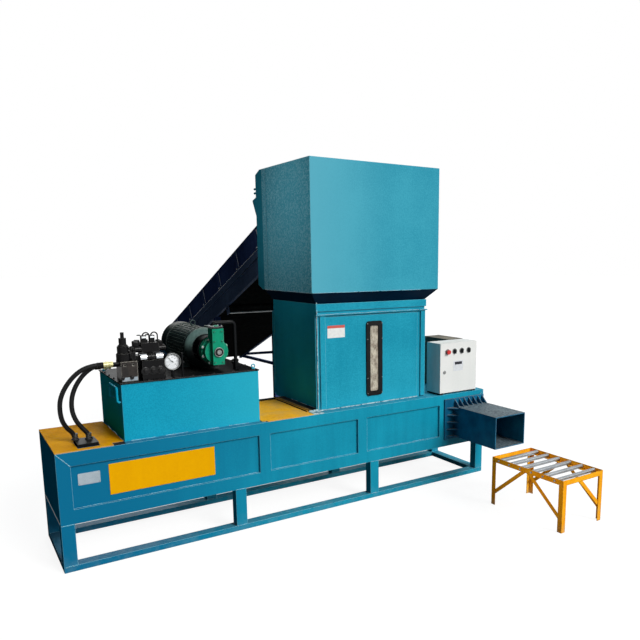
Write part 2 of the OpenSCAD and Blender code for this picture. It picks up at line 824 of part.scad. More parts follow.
// The table's frame of angle bars with its fixed roller axles
module table_frame() {
    x1 = tab_x + tab_w;
    y1 = tab_y + tab_l;
    z0 = tab_h - angle_b;
    mid_y = tab_y + tab_l / 2;
    color("#e8a21f") at_bed() {
        for (x = [tab_x, x1 - angle_t]) block([x, tab_y, z0], [angle_t, tab_l, angle_b]);
        for (y = [tab_y, y1 - angle_t])
            block([tab_x + angle_t, y, z0], [tab_w - 2 * angle_t, angle_t, angle_b]);
        for (x = [tab_x + angle_t, x1 - angle_b]) block([x, tab_y + angle_t, z0],
            [angle_b - angle_t, tab_l - 2 * angle_t, angle_t]);
        for (x = [[tab_x, 1], [x1, -1]], y = [[tab_y, 1], [y1, -1]]) {
            sx = min(x[0], x[0] + x[1] * angle_b);
            tx = min(x[0], x[0] + x[1] * angle_t);
            sy = min(y[0], y[0] + y[1] * angle_b);
            ty = min(y[0], y[0] + y[1] * angle_t);
            block([sx, ty, 0], [angle_b, angle_t, z0]);
            block([tx, sy, 0], [angle_t, angle_b, z0]);
        }
        for (x = [tab_x + angle_t, x1 - 2 * angle_t]) {
            bar_yz(x, angle_t, [y1 - 18, 100], [mid_y + 16, z0 + 12], brace_w);
            bar_yz(x, angle_t, [tab_y + 18, 100], [mid_y - 16, z0 + 12], brace_w);
        }
        translate([0, tab_y + angle_t, 0]) mirror([0, 1, 0]) rotate([90, 0, 0]) linear_extrude(angle_t)
            polygon([[x1 - angle_t, 90], [x1 - angle_t, 130], [tab_x + tab_w * 0.4 + 20, z0 + 20],
            [tab_x + tab_w * 0.4 - 24, z0 + 20]]);
        for (i = [0 : tab_rollers - 1])
            rod_x([tab_x + angle_t, roller_y0 - i * roller_pitch, roller_z], axle_r, tab_w - 2 * angle_t);
    }
}

module table_roller(i) {
    x0 = tab_x + angle_t + 4;
    l = tab_w - 2 * angle_t - 8;
    y = roller_y0 - i * roller_pitch;
    color("#c4c9cc") at_bed() difference() {
        rod_x([x0, y, roller_z], roller_r, l);
        rod_x([x0 + 10, y, roller_z], roller_r - roller_t, l - 20);
        rod_x([x0 - 1, y, roller_z], axle_r + fit, l + 2);
    }
}

// The cabinet's box, open at the front, with its two hinge pins
module cabinet_body() {
    y = door_t + door_gap;
    color("#d4d6d3") at_bed() {
        difference() {
            block([cab_x, y, cab_z], [cab_w, cab_d - y, cab_h]);
            block([cab_x + cab_t, y - 1, cab_z + cab_t], [cab_w - 2 * cab_t, cab_d - y - cab_t + 1, cab_h - 2 * cab_t]);
        }
        for (z = [cab_z + 60, cab_z + cab_h - 60 - hinge_l]) {
            rod_z([hinge_x, hinge_y, z], hinge_pin_r, hinge_l);
            block([cab_x + cab_w, y + 2, z - 6], [7 + hinge_r, 12, 5.7]);
            rod_z([hinge_x, hinge_y, z - 6], hinge_r, 6);
        }
    }
}

// The cabinet's feet and the black strips that seal the covers to the tower and the tank
module base_strips() {
    x = tank_x + tank_l + 6;
    z = bed_h + cover_t;
    color("#1d1f21") at_bed() {
        for (fx = [cab_x + 4, cab_x + cab_w - 44]) block([fx, 4, bed_h], [40, cab_d - 8, cab_feet]);
        block([tow_x - 100, tow_y, z], [100, bed_w - tow_y, 10]);
        block([x, bed_w - 34, z], [tow_x - 100 - x, 34, 10]);
        block([tank_x - 82, 2, bed_h], [74, 54, 5]);
    }
}

// The door: a tray with turned edges, holes for the controls and two hinge knuckles
module cabinet_door() {
    color("#dcdedb") at_bed() difference() {
        union() {
            difference() {
                block([cab_x, 0, cab_z], [cab_w, door_t, cab_h]);
                block([cab_x + cab_t, cab_t, cab_z + cab_t], [cab_w - 2 * cab_t, door_t, cab_h - 2 * cab_t]);
            }
            for (z = [cab_z + 60, cab_z + cab_h - 60 - hinge_l]) {
                rod_z([hinge_x, hinge_y, z + 0.3], hinge_r, hinge_l - 0.3);
                block([cab_x + cab_w - cab_t, door_t - 6, z + 0.3], [hinge_x - cab_x - cab_w + cab_t, 3, hinge_l - 0.3]);
            }
        }
        for (z = [cab_z + 60, cab_z + cab_h - 60 - hinge_l])
            rod_z([hinge_x, hinge_y, z - 1], hinge_pin_r + fit, hinge_l + 2);
        for (i = [0 : 3]) rod_y([first_knob_x + i * knob_pitch, -1, knob_c], stem_r + fit, cab_t + 2);
        rod_y([lock_x, -1, lock_z], lock_r - 4 + fit, cab_t + 2);
    }
}

module door_lock() {
    color("#b9bdbf") at_bed() difference() {
        union() {
            rod_y([lock_x, -5, lock_z], lock_r, 4.7);
            rod_y([lock_x, -1, lock_z], lock_r - 4, 12);
            block([lock_x - 34, 8, lock_z - 7], [42, 3, 14]);
        }
        block([lock_x - 1.5, -6, lock_z - 7], [3, 4, 14]);
    }
}

// The red stop button: a mushroom head on its stem behind the bezel's gap
module stop_button() {
    x = first_knob_x;
    color("#c9302a") at_bed() {
        rod_y([x, -26, knob_c], bezel_r, 12);
        rod_y([x, -14.5, knob_c], stem_r, 30);
        rod_y([x, 15.5, knob_c], stem_r + 4, 6);
    }
}

module selector(i) {
    x = first_knob_x + i * knob_pitch;
    color("#22262a") at_bed() {
        rod_y([x, -6.3, knob_c], bezel_r, 6);
        block([x - 4, -22, knob_c - bezel_r + 2], [8, 16, 2 * bezel_r - 4]);
        rod_y([x, -1, knob_c], stem_r, 26);
    }
}

module starter_box() {
    x = cab_x + cab_w - box_w;
    z1 = cab_z + cab_h + 3;
    color("#5c5750") at_bed() difference() {
        block([x, cab_d + 4, bed_h], [box_w, box_d, z1 - bed_h]);
        block([x + 4, cab_d + 8, bed_h - 1], [box_w - 8, box_d - 8, z1 - bed_h - 3]);
    }
}

// The tank's welded box, with a bent lifting bar on its left end
module tank_body() {
    bar_r = 8;
    out = 24;
    y = tank_y + 24;
    color("#1d94b8") at_bed() {
        difference() {
            block([tank_x, tank_y, bed_h], [tank_l, tank_d, tank_h]);
            block([tank_x + 5, tank_y + 5, bed_h + 5], [tank_l - 10, tank_d - 10, tank_h]);
        }
        pipe_run([[tank_x + 2, y, bed_h + 266], [tank_x - out, y, bed_h + 266], [tank_x - out, y, bed_h + 366],
            [tank_x - out, y + 210, bed_h + 366], [tank_x - out, y + 210, bed_h + 266],
            [tank_x + 2, y + 210, bed_h + 266]], bar_r);
    }
}

module tank_cover() {
    color("#1b1d1f") at_bed() block([tank_x - lid_edge, tank_y - lid_edge, bed_h + tank_h],
        [tank_l + 2 * lid_edge, tank_d + 2 * lid_edge, lid_t]);
}

// The finned motor housing: one outline with a fin at each step, its drive shield, feet and terminal box
module motor_body() {
    step = 360 / fins;
    w = step / 5;
    r0 = motor_r - fin_h;
    outline = [for (i = [0 : fins - 1]) each [[r0, i * step - w], [motor_r, i * step - w],
        [motor_r, i * step + w], [r0, i * step + w]]];
    y = motor_y + shield_l;
    color("#5f8079") at_bed() {
        difference() {
            union() {
                translate([motor_x, y, motor_axis_z]) rotate([-90, 0, 0]) linear_extrude(motor_l)
                    polygon([for (p = outline) p[0] * [cos(p[1]), sin(p[1])]]);
                rod_y([motor_x, motor_y, motor_axis_z], flange_r, 18);
                rod_y([motor_x, motor_y + 18, motor_axis_z], r0, shield_l - 18);
                rod_y([motor_x, cowl_y - 4, motor_axis_z], motor_r + 1, spigot_l + 4);
                block([motor_x + 100, y + 90, motor_axis_z + 40], [90, 130, 100]);
            }
            rod_y([motor_x, motor_y - 1, motor_axis_z], motor_shaft_r + fit, motor_l + shield_l + spigot_l + 2);
        }
        for (s = [-1, 1]) block([motor_x + s * 110 - 30, y + 50, lid_z], [60, 250, 34]);
        for (s = [-1, 1]) block([motor_x + s * 100 - 10, y + 60, lid_z + 30], [20, 230, 50]);
        translate([motor_x, y + 180, motor_axis_z + motor_r + 20]) rotate([90, 0, 0]) rotate_extrude()
            translate([18, 0]) circle(5);
        rod_z([motor_x, y + 180, motor_axis_z + motor_r - 12], 9, 17);
    }
}

// The sheet cowl behind the motor, with ring slots in its end
module motor_cowl() {
    r = motor_r + 4;
    color("#7d9690") at_bed() difference() {
        rod_y([motor_x, cowl_y, motor_axis_z], r, cowl_l);
        rod_y([motor_x, cowl_y - 1, motor_axis_z], r - 3, cowl_l - 2);
        difference() {
            for (k = [0 : 2]) difference() {
                rod_y([motor_x, cowl_y, motor_axis_z], 60 + 28 * k, cowl_l + 1);
                rod_y([motor_x, cowl_y - 1, motor_axis_z], 46 + 28 * k, cowl_l + 3);
            }
            block([motor_x - 8, cowl_y - 2, motor_axis_z - r], [16, cowl_l + 4, 2 * r]);
            block([motor_x - r, cowl_y - 2, motor_axis_z - 8], [2 * r, cowl_l + 4, 16]);
        }
    }
}

// The turning parts: shaft, coupling and fan
module motor_rotor() {
    fan_y = cowl_y + 30;
    color("#9aa3a6") at_bed() {
        rod_y([motor_x, bell_y - 20, motor_axis_z], motor_shaft_r, fan_y + 60 - bell_y + 20);
        rod_y([motor_x, bell_y + 40, motor_axis_z], 46, 90);
        rod_y([motor_x, fan_y, motor_axis_z], 40, 46);
        for (i = [0 : 6]) translate([motor_x, fan_y, motor_axis_z]) rotate([0, i * 360 / 7, 0])
            block([36, 0, -2], [motor_r - 50, 44, 4]);
    }
}

module bell_housing() {
    color("#1d2022") at_bed() difference() {
        union() {
            rod_y([motor_x, bell_y, motor_axis_z], pump_r + 8, bell_l);
            rod_y([motor_x, bell_y + bell_l - 14, motor_axis_z], pump_r + 26, 14);
        }
        rod_y([motor_x, bell_y - 1, motor_axis_z], pump_r - 22, bell_l + 2);
        block([motor_x - 160, bell_y + 50, motor_axis_z - 34], [320, 70, 68]);
    }
}

// The axial piston pump: round flanged body with bolted lobes and an upright port head with a dial
module pump() {
    head_y0 = pump_y;
    body_y = head_y0 + head_d;
    color("#1c8a63") at_bed() {
        difference() {
            union() {
                rod_y([motor_x, body_y, motor_axis_z], pump_r - 14, bell_y - body_y);
                rod_y([motor_x, bell_y - 16, motor_axis_z], pump_r, 16);
                rod_y([motor_x, body_y, motor_axis_z], pump_r, 20);
            }
            rod_y([motor_x, bell_y - 30, motor_axis_z], motor_shaft_r + fit, 31);
        }
        for (a = [20, 65, 115, 160, 200, 245, 295, 340])
            rod_y([motor_x + (pump_r - 12) * cos(a), body_y - 12, motor_axis_z + (pump_r - 12) * sin(a)], 11, 12);
        rod_y([motor_x, head_y0 + 40, motor_axis_z], pump_r - 10, head_d - 40);
        block([motor_x - head_w / 2, head_y0, motor_axis_z - 92], [head_w, head_d, head_h]);
        rod_z([motor_x, head_y0 + head_d / 2, motor_axis_z - 92 + head_h], 20, 18);
        rod_z([port_x, loop_y, motor_axis_z + 50], 20, port_top - motor_axis_z - 50);
        difference() {
            rod_y([motor_x, head_y0 - 10, motor_axis_z], 34, 10);
            rod_y([motor_x, head_y0 - 11, motor_axis_z], 27, 5);
        }
    }
}

module valve_manifold() {
    color("#6f6a60") at_bed() difference() {
        block([mani_x, mani_y, lid_z], [mani_w, mani_d, mani_h]);
        for (x = [mani_x + 25, mani_x + mani_w - 25]) rod_y([x, mani_y - 1, lid_z + mani_h - 24], 8, 14);
    }
}

// The valves on the manifold and beside it: a stepped relief valve, two sliding spool valves with
// coils and plugs, the bright check cylinder in front and the sub-block that carries them
module valve_bank() {
    x0 = valve_x;
    y0 = mani_y + 40;
    z0 = lid_z;
    top = z0 + mani_h;
    relief = [[46, 50], [38, 50], [24, 55], [12, 38]];
    bank_z = z0 + 165;
    spool_h = 84;
    plug_h = 50;
    color("#24272a") at_bed() {
        for (i = [0 : 3]) {
            below = [0, 50, 100, 155][i];
            rod_z([mani_x + 30, mani_y + 50, top + below], relief[i][0], relief[i][1]);
        }
        block([mani_x + 80, mani_y + 20, top], [24, 90, 60]);
        block([x0, y0, z0], [190, 110, bank_z - z0]);
        for (y = [y0, y0 + 60]) {
            block([x0 + 36, y, bank_z], [118, 50, spool_h]);
            for (x = [x0 - 6, x0 + 154]) rod_x([x, y + 25, bank_z + 42], 22, 42);
        }
        for (x = [x0 + 56, x0 + 112]) {
            block([x - 16, y0 + 6, bank_z + spool_h], [32, 38, plug_h]);
            translate([x + 18, y0 + 25, bank_z + spool_h + plug_h - 4]) rotate([90, 0, 0])
                rotate_extrude(angle = 180) translate([22, 0]) circle(4.5);
            rod_z([x + 40, y0 + 25, bank_z + spool_h - 5], 4.5, plug_h + 1);
        }
        block([x0 + 20, y0 - 52, z0], [150, 52, bank_z - z0 - 30]);
        rod_x([x0 + 16, y0 - 26, bank_z - 9], 24, 150);
        rod_x([x0 + 84, y0 - 26, bank_z - 9], 28, 18);
    }
}

module gauge_body() {
    depth = 32;
    color("#2a2d30") at_bed() {
        difference() {
            rod_y([gauge_x, gauge_y, gauge_c], gauge_r, depth);
            rod_y([gauge_x, gauge_y - 1, gauge_c], gauge_r - 5, 15);
            rod_y([gauge_x, gauge_y + 10, gauge_c], 2 + fit, 14);
        }
        difference() {
            rod_z([gauge_x, gauge_y + depth / 2, lid_z], 9, gauge_z);
            rod_y([gauge_x, gauge_y - 1, gauge_c], gauge_r - 1, depth + 2);
        }
    }
}

// The gauge's needle on its spindle, at rest towards the lower left
module gauge_needle() {
    color("#111111") at_bed() translate([gauge_x, gauge_y, gauge_c]) {
        rod_y([0, 8, 0], 2, 14);
        rod_y([0, 8, 0], 5, 2.5);
        rotate([0, 45, 0]) block([-40, 8, -1], [52, 2, 2]);
    }
}

// The steel pipes: pressure loop over the pump, drain pipe, the port block in the left cover's slot
// and the runs from it to the cylinder
module pipes() {
    block_top = bed_h + block_h;
    yb = block_y + 60;
    base_z = cyl_z + main_r + 24;
    head_x = end_t + main_cyl_l - 90;
    side_y = bed_w / 2 + main_r + 50;
    top = motor_axis_z + 200;
    color("#202428") at_bed() {
        pipe_run([[port_x, loop_y, port_top], [port_x, loop_y, top], [port_x + 168, loop_y, top],
            [port_x + 168, loop_y, lid_z]], 13);
        rod_z([tank_x + 420, tank_y + 14, lid_z], 6, 170);
        for (p = [[tank_x + 856, 200], [tank_x + 900, 300]]) rod_z([p[0], p[1], lid_z], 14, 42);
        pipe_run([[block_x + 30, yb, bed_h], [block_x + 30, yb, base_z + 50],
            [block_x + 30, bed_w / 2, base_z + 50], [block_x + 30, bed_w / 2, base_z]], 12);
        pipe_run([[block_x + 90, yb, bed_h], [block_x + 90, yb, base_z + 30], [block_x + 90, side_y, base_z + 30],
            [block_x + 90, side_y, cyl_z], [head_x, side_y, cyl_z],
            [head_x, bed_w / 2 + main_r + 24, cyl_z]], 12);
        for (i = [0, 1]) rod_x([mani_x - 50, port_y[i], port_z[i]], 12, 50);
        block([block_x, block_y, bed_h], [block_w, block_d, block_h]);
    }
}

// The hose ends: two unions on the manifold's pipes and two on the port block
module hose_fittings() {
    out_p = outer_route[0];
    in_p = inner_route[0];
    out_e = outer_route[len(outer_route) - 1];
    in_e = inner_route[len(inner_route) - 1];
    top = bed_h + block_h;
    color("#b08a3a") at_bed() {
        for (p = [out_p, in_p]) rod_x(p, 19, mani_x - 50 - p[0]);
        for (p = [out_e, in_e]) rod_z([p[0], p[1], top], 19, p[2] - top);
    }
}

module hose_outer() {
    color("#141516") at_bed() hose(outer_route, hose_r, 12);
}

module hose_inner() {
    color("#141516") at_bed() hose(inner_route, hose_r, 12);
}

// The conveyor's own frame: Y runs downhill from the head pulley, and Z is square to the belt
module on_slope() {
    translate([0, head_y, head_z]) rotate([-slope, 0, 0]) children();
}

function floor_line(y, drop) = head_z + (head_y - y) * tan(slope) - drop / cos(slope);

// Side channels with outward flanges, slider bed, cross bars and bearing blocks, welded into one frame
module conveyor_frame() {
    y0 = -conv_end;
    l = conv_l + 2 * conv_end;
    x1 = conv_x + conv_w;
    bed_top = pulley_r - 1;
    bed_y = pulley_r + 60;
    bed_len = conv_l - 2 * bed_y;
    color("#39466b") at_bed() on_slope() difference() {
        union() {
            for (x = [conv_x + chan_b - chan_t, x1 - chan_b]) {
                block([x, y0, -chan_low], [chan_t, l, chan_h]);
                block([x, bed_y, 0], [chan_t, bed_len, bed_top]);
            }
            for (x = [conv_x, x1 - chan_b], z = [-chan_low, chan_h - chan_low - chan_t])
                block([x, y0, z], [chan_b, l, chan_t]);
            for (x = [conv_x, x1 - board_t])
                block([x, y0 + 150, chan_h - chan_low], [board_t, l - 300, board_z - chan_h + chan_low]);
            block([conv_x + chan_b, bed_y, bed_top - 5], [conv_w - 2 * chan_b, bed_len, 5]);
            for (y = [200 : 680 : conv_l - 200])
                block([conv_x + chan_b, y, -20], [conv_w - 2 * chan_b, 50, 50]);
            for (x = [conv_x - 4, x1 - chan_b + chan_t], y = [0, conv_l])
                block([x, y - 50, -45], [chan_b - chan_t + 4, 100, 90]);
            for (x = [conv_x + 8, x1 - 18])
                block([x, ret_y - 30, tie_z - 14], [10, 60, -chan_low - tie_z + 14]);
            rod_x([conv_x + 8, ret_y, tie_z], 8, conv_w - 16);
        }
        for (y = [0, conv_l]) rod_x([conv_x - 40, y, 0], shaft_r + fit, conv_w + 80);
        rod_x([conv_x - 40, ret_y, ret_z], ret_pin_r + fit, conv_w + 80);
    }
}

module sideboards() {
    y0 = 40;
    l = conv_l - 60;
    rib = 20;
    for (s = [-1, 1]) color("#333d5c") at_bed() on_slope() {
        x = s < 0 ? conv_x : conv_x + conv_w - board_t;
        block([x, y0, board_z], [board_t, l, board_h]);
        for (i = [0 : stiffeners - 1])
            block([s < 0 ? x - rib : x + board_t, y0 + (i + 0.76) * l / stiffeners, board_z + 6], [rib, 6, board_h - 12]);
        block([s < 0 ? x - board_lip : x + board_t, y0, board_z], [board_lip, l, 4]);
        block([s < 0 ? x - board_lip : x + board_t, y0 + 300, board_z + board_h - 4], [board_lip, l - 300, 4]);
    }
}

// The belt: one closed band round both pulleys, with its row of cleats
module conveyor_belt() {
    r0 = pulley_r + 0.3;
    r1 = r0 + belt_t;
    color("#2b2622") at_bed() on_slope() {
        difference() {
            union() {
                for (y = [0, conv_l]) rod_x([belt_x, y, 0], r1, belt_w);
                block([belt_x, 0, -r1], [belt_w, conv_l, 2 * r1]);
            }
            for (y = [0, conv_l]) rod_x([belt_x - 1, y, 0], r0, belt_w + 2);
            block([belt_x - 1, 0, -r0], [belt_w + 2, conv_l, 2 * r0]);
        }
        for (i = [0 : cleats - 1]) block([belt_x + 40, 120 + i * (conv_l - 240) / (cleats - 1), r1],
            [belt_w - 80, 8, cleat_h]);
    }
}

module pulley(y, out) {
    color("#8d9398") at_bed() on_slope() {
        rod_x([belt_x - 4, y, 0], pulley_r, belt_w + 8);
        rod_x([conv_x - 4 - out, y, 0], shaft_r, conv_w + 8 + out);
    }
}

module head_pulley() {
    pulley(0, 0);
}

module tail_pulley() {
    pulley(conv_l, 60);
}

module return_roller() {
    color("#aab0b3") at_bed() on_slope() {
        rod_x([conv_x + chan_b + 6, ret_y, ret_z], ret_r, conv_w - 2 * chan_b - 12);
        rod_x([conv_x + 4, ret_y, ret_z], ret_pin_r, conv_w - 8);
    }
}

// Two pairs of legs and the struts that carry the low end, cut to the slope
module conveyor_legs() {
    c = conv_tube;
    color("#39466b") at_bed() {
        for (x = [conv_x, conv_x + conv_w - c]) {
            for (y = [leg_tall_y, leg_short_y]) {
                plate_x(x, c, [[y, 8], [y + c, 8], [y + c, floor_line(y + c, chan_low + 0.1)],
                    [y, floor_line(y, chan_low + 0.1)]]);
                block([x - 30, y - 30, 0], [c + 60, c + 60, 8]);
            }
            block([x + 10, leg_tall_y + c, tie_bar_z], [c - 20, leg_short_y - leg_tall_y - c, c - 20]);
        }
        for (y = [leg_tall_y, leg_short_y])
            block([conv_x + c, y + 10, tie_bar_z], [conv_w - 2 * c, c - 20, c - 20]);
        difference() {
            for (x = [conv_x, conv_x + conv_w - strut_t], s = [strut_a, strut_b])
                bar_yz(x, strut_t, s[0], s[1], strut_t);
            on_slope() block([conv_x - 5, 0, -chan_low - 0.1], [conv_w + 10, conv_l + 300, 500]);
        }
    }
}

// The shaft-mounted gear motor on the tail pulley's near end
module gear_motor() {
    x1 = conv_x - 4;
    color("#2c5a78") at_bed() on_slope() {
        difference() {
            union() {
                block([x1 - 64, conv_l - 60, -70], [60, 120, 180]);
                rod_x([x1 - 64 - 190, conv_l, 62], 46, 190);
                rod_x([x1 - 64 - 210, conv_l, 62], 40, 20);
            }
            rod_x([x1 - 70, conv_l, 0], shaft_r + fit, 80);
        }
        block([x1 - 4, conv_l - 30, -45], [4, 60, 12]);
    }
}

undercarriage();
front_wall();
rear_wall();
bed_floor();
top_deck();
left_cover();
right_cover();
main_barrel();
main_rod();
main_ram();
bag_barrel();
bag_rod();
bag_pusher();
tower_shell();
window_frame();
window_pane();
taper_ring();
hopper_shell();
hopper_pan();
outlet_duct();
outlet_flange();
table_frame();
table_roller(0);  // table_roller_1
table_roller(1);  // table_roller_2
table_roller(2);  // table_roller_3
table_roller(3);  // table_roller_4
table_roller(4);  // table_roller_5
table_roller(5);  // table_roller_6
cabinet_body();
base_strips();
cabinet_door();
door_lock();
stop_button();
selector(1);  // selector_1
selector(2);  // selector_2
selector(3);  // selector_3
starter_box();
tank_body();
tank_cover();
motor_body();
motor_cowl();
motor_rotor();
bell_housing();
pump();
valve_manifold();
valve_bank();
gauge_body();
gauge_needle();
pipes();
hose_fittings();
hose_outer();
hose_inner();
conveyor_frame();
sideboards();
conveyor_belt();
head_pulley();
tail_pulley();
return_roller();
conveyor_legs();
gear_motor();
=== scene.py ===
import math

import bpy
import numpy as np
from mathutils import Matrix, Vector


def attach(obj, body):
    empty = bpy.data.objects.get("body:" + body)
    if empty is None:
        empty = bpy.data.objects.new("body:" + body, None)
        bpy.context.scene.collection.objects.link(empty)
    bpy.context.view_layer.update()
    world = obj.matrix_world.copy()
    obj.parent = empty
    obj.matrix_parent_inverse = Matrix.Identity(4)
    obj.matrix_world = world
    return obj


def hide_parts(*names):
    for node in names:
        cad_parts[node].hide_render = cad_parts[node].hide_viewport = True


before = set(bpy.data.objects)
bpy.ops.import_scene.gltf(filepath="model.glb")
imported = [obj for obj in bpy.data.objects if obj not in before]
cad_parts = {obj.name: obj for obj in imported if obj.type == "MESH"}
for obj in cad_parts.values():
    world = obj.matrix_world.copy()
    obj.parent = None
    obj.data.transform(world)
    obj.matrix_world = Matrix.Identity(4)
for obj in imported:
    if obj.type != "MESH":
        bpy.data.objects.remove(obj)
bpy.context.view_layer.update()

# The bed's front left corner in the row frame, in metres
OX, OY = -1.830, -0.040
X, Y, Z = np.eye(3)

# The conveyor's incline, and the head pulley's axis in bed millimetres
INCLINE = math.radians(22)
HEAD_Y, HEAD_Z = 680, 2176


def at(x, y, z):
    """A point given in millimetres from the bed's front left corner, in the row frame in metres."""
    return (x / 1000 + OX, y / 1000 + OY, z / 1000)


def slope(x, y, z):
    """A point in bed millimetres: y down the conveyor from the head pulley, z square to the belt."""
    c, s = math.cos(INCLINE), math.sin(INCLINE)
    return np.array([x, HEAD_Y + y * c + z * s, HEAD_Z - y * s + z * c])


OFF_BELT = slope(0, 0, 1) - slope(0, 0, 0)

# Camera, fitted to the photograph: its width, focal length and centre are in pixels, its turns in radians and its
# place in bed millimetres
WIDE, FOCAL, CENTRE_U, CENTRE_V = 640, 645.4142, 374.78, 368.30
YAW, PITCH, ROLL = 0.5943, -0.1664, -0.0032
EYE = (-518.86, -4361.36, 2000.11)
cam_data = bpy.data.cameras.new("camera")
cam_data.sensor_width = 36.0
cam_data.lens = FOCAL / WIDE * 36
cam_data.shift_x = -(CENTRE_U - WIDE / 2) / WIDE
cam_data.shift_y = (CENTRE_V - WIDE / 2) / WIDE
cam_data.clip_end = 200
cam = bpy.data.objects.new("camera", cam_data)
bpy.context.scene.collection.objects.link(cam)
fwd = np.array([math.sin(YAW) * math.cos(PITCH), math.cos(YAW) * math.cos(PITCH), math.sin(PITCH)])
right = np.array([math.cos(YAW), -math.sin(YAW), 0.0])
up = np.cross(right, fwd)
cr, sr = math.cos(ROLL), math.sin(ROLL)
right, up = cr * right + sr * up, -sr * right + cr * up
stand = Matrix.Identity(4)
for i in range(3):
    stand[i][0], stand[i][1], stand[i][2] = right[i], up[i], -fwd[i]
    stand[i][3] = at(*EYE)[i]
cam.matrix_world = stand
bpy.context.scene.camera = cam


# ---------------------------------------------------------------- shader writing
def rgb(r, g, b):
    """A screen colour, 0 to 255, made linear."""
    c = np.array([r, g, b]) / 255
    return (*np.where(c <= 0.04045, c / 12.92, ((c + 0.055) / 1.055) ** 2.4).tolist(), 1.0)


class Val:
    """A number socket that takes part in sums: each operator adds its Math node."""

    def __init__(self, net, socket):
        self.net, self.s = net, socket

    def __add__(self, o):
        return self.net.math("ADD", self, o)

    def __mul__(self, o):
        return self.net.math("MULTIPLY", self, o)

    def __rsub__(self, o):
        return self.net.math("SUBTRACT", o, self)

    def __gt__(self, o):
        return self.net.math("GREATER_THAN", self, o)


class Net:
    """A node tree being written. node() makes any node: its type, its settings, then its sockets."""

    def __init__(self, tree):
        self.tree = tree

    def node(self, kind, settings=None, sockets=None):
        n = self.tree.nodes.new(kind)
        for k, v in (settings or {}).items():
            setattr(n, k, v)
        for k, v in (sockets or {}).items():
            self.put(n.inputs[k], v)
        return n

    def put(self, socket, value):
        value = value.s if isinstance(value, Val) else value
        if isinstance(value, bpy.types.NodeSocket):
            self.tree.links.new(value, socket)
        else:
            socket.default_value = value

    def math(self, op, a, b):
        return Val(self, self.node("ShaderNodeMath", {"operation": op}, {0: a, 1: b}).outputs[0])

    def dot(self, a, b):
        n = self.node("ShaderNodeVectorMath", {"operation": "DOT_PRODUCT"}, {0: a, 1: b})
        return Val(self, n.outputs["Value"])

    def soft(self, v, lo, hi):
        """0 below lo, 1 above hi, and smooth between; lo above hi turns it round."""
        n = self.node("ShaderNodeMapRange", {"interpolation_type": "SMOOTHSTEP"},
                      {"Value": v, "From Min": lo, "From Max": hi})
        return Val(self, n.outputs[0])

    def blend(self, fac, a, b):
        return self.node("ShaderNodeMix", {"data_type": "RGBA"}, {0: fac, 6: a, 7: b}).outputs[2]


class Finish(Net):
    """A procedural finish round one Principled shader, patterned on Object coordinates in metres."""

    def __init__(self, name, **fixed):
        self.mat = bpy.data.materials.new(name)
        self.mat.use_nodes = True
        super().__init__(self.mat.node_tree)
        self.shader = self.tree.nodes["Principled BSDF"]
        for k, v in fixed.items():
            self.shader.inputs[k.replace("_", " ")].default_value = v
        self.coord = self.node("ShaderNodeTexCoord")
        self.xyz = self.coord.outputs["Object"]
        self.rounded = None

    def axis(self, i, out="Object"):
        """One coordinate, or with out="Normal" how far the face looks along that axis."""
        return Val(self, self.node("ShaderNodeSeparateXYZ", {}, {0: self.coord.outputs[out]}).outputs[i])

    def noise(self, scale, detail=2.0, rough=0.5, stretch=None):
        src = self.xyz
        if stretch:
            src = self.node("ShaderNodeMapping", {}, {"Vector": src, "Scale": stretch}).outputs[0]
        socks = {"Vector": src, "Scale": scale, "Detail": detail, "Roughness": rough}
        return Val(self, self.node("ShaderNodeTexNoise", {}, socks).outputs[0])

    def cells(self, scale):
        n = self.node("ShaderNodeTexVoronoi", {"feature": "SMOOTH_F1"}, {"Vector": self.xyz, "Scale": scale})
        return Val(self, n.outputs["Distance"])

    def chips(self, radius, scale, lift, lo, hi, amount):
        """Paint lost in spots along the edges, which the bump then takes as rounded by the radius."""
        self.rounded = self.node("ShaderNodeBevel", {"samples": 4}, {"Radius": radius}).outputs[0]
        flat = self.node("ShaderNodeNewGeometry").outputs["Normal"]
        near = self.soft(1 - self.dot(self.rounded, flat), 0.004, 0.10)
        return self.soft(near * (self.noise(scale, 4, 0.7) + lift), lo, hi) * amount

    def done(self, colour, roughness, height, distance, strength, **more):
        self.put(self.shader.inputs["Base Color"], colour)
        self.put(self.shader.inputs["Roughness"], roughness)
        for k, v in more.items():
            self.put(self.shader.inputs[k.replace("_", " ")], v)
        socks = {"Height": height, "Distance": distance, "Strength": strength}
        if self.rounded is not None:
            socks["Normal"] = self.rounded
        self.put(self.shader.inputs["Normal"], self.node("ShaderNodeBump", {}, socks).outputs[0])
        return self.mat


CLOUD_SHARE = 0.55
# tone of the painted glint on hammered dimples
GLINT_TONE = (112, 186, 204)


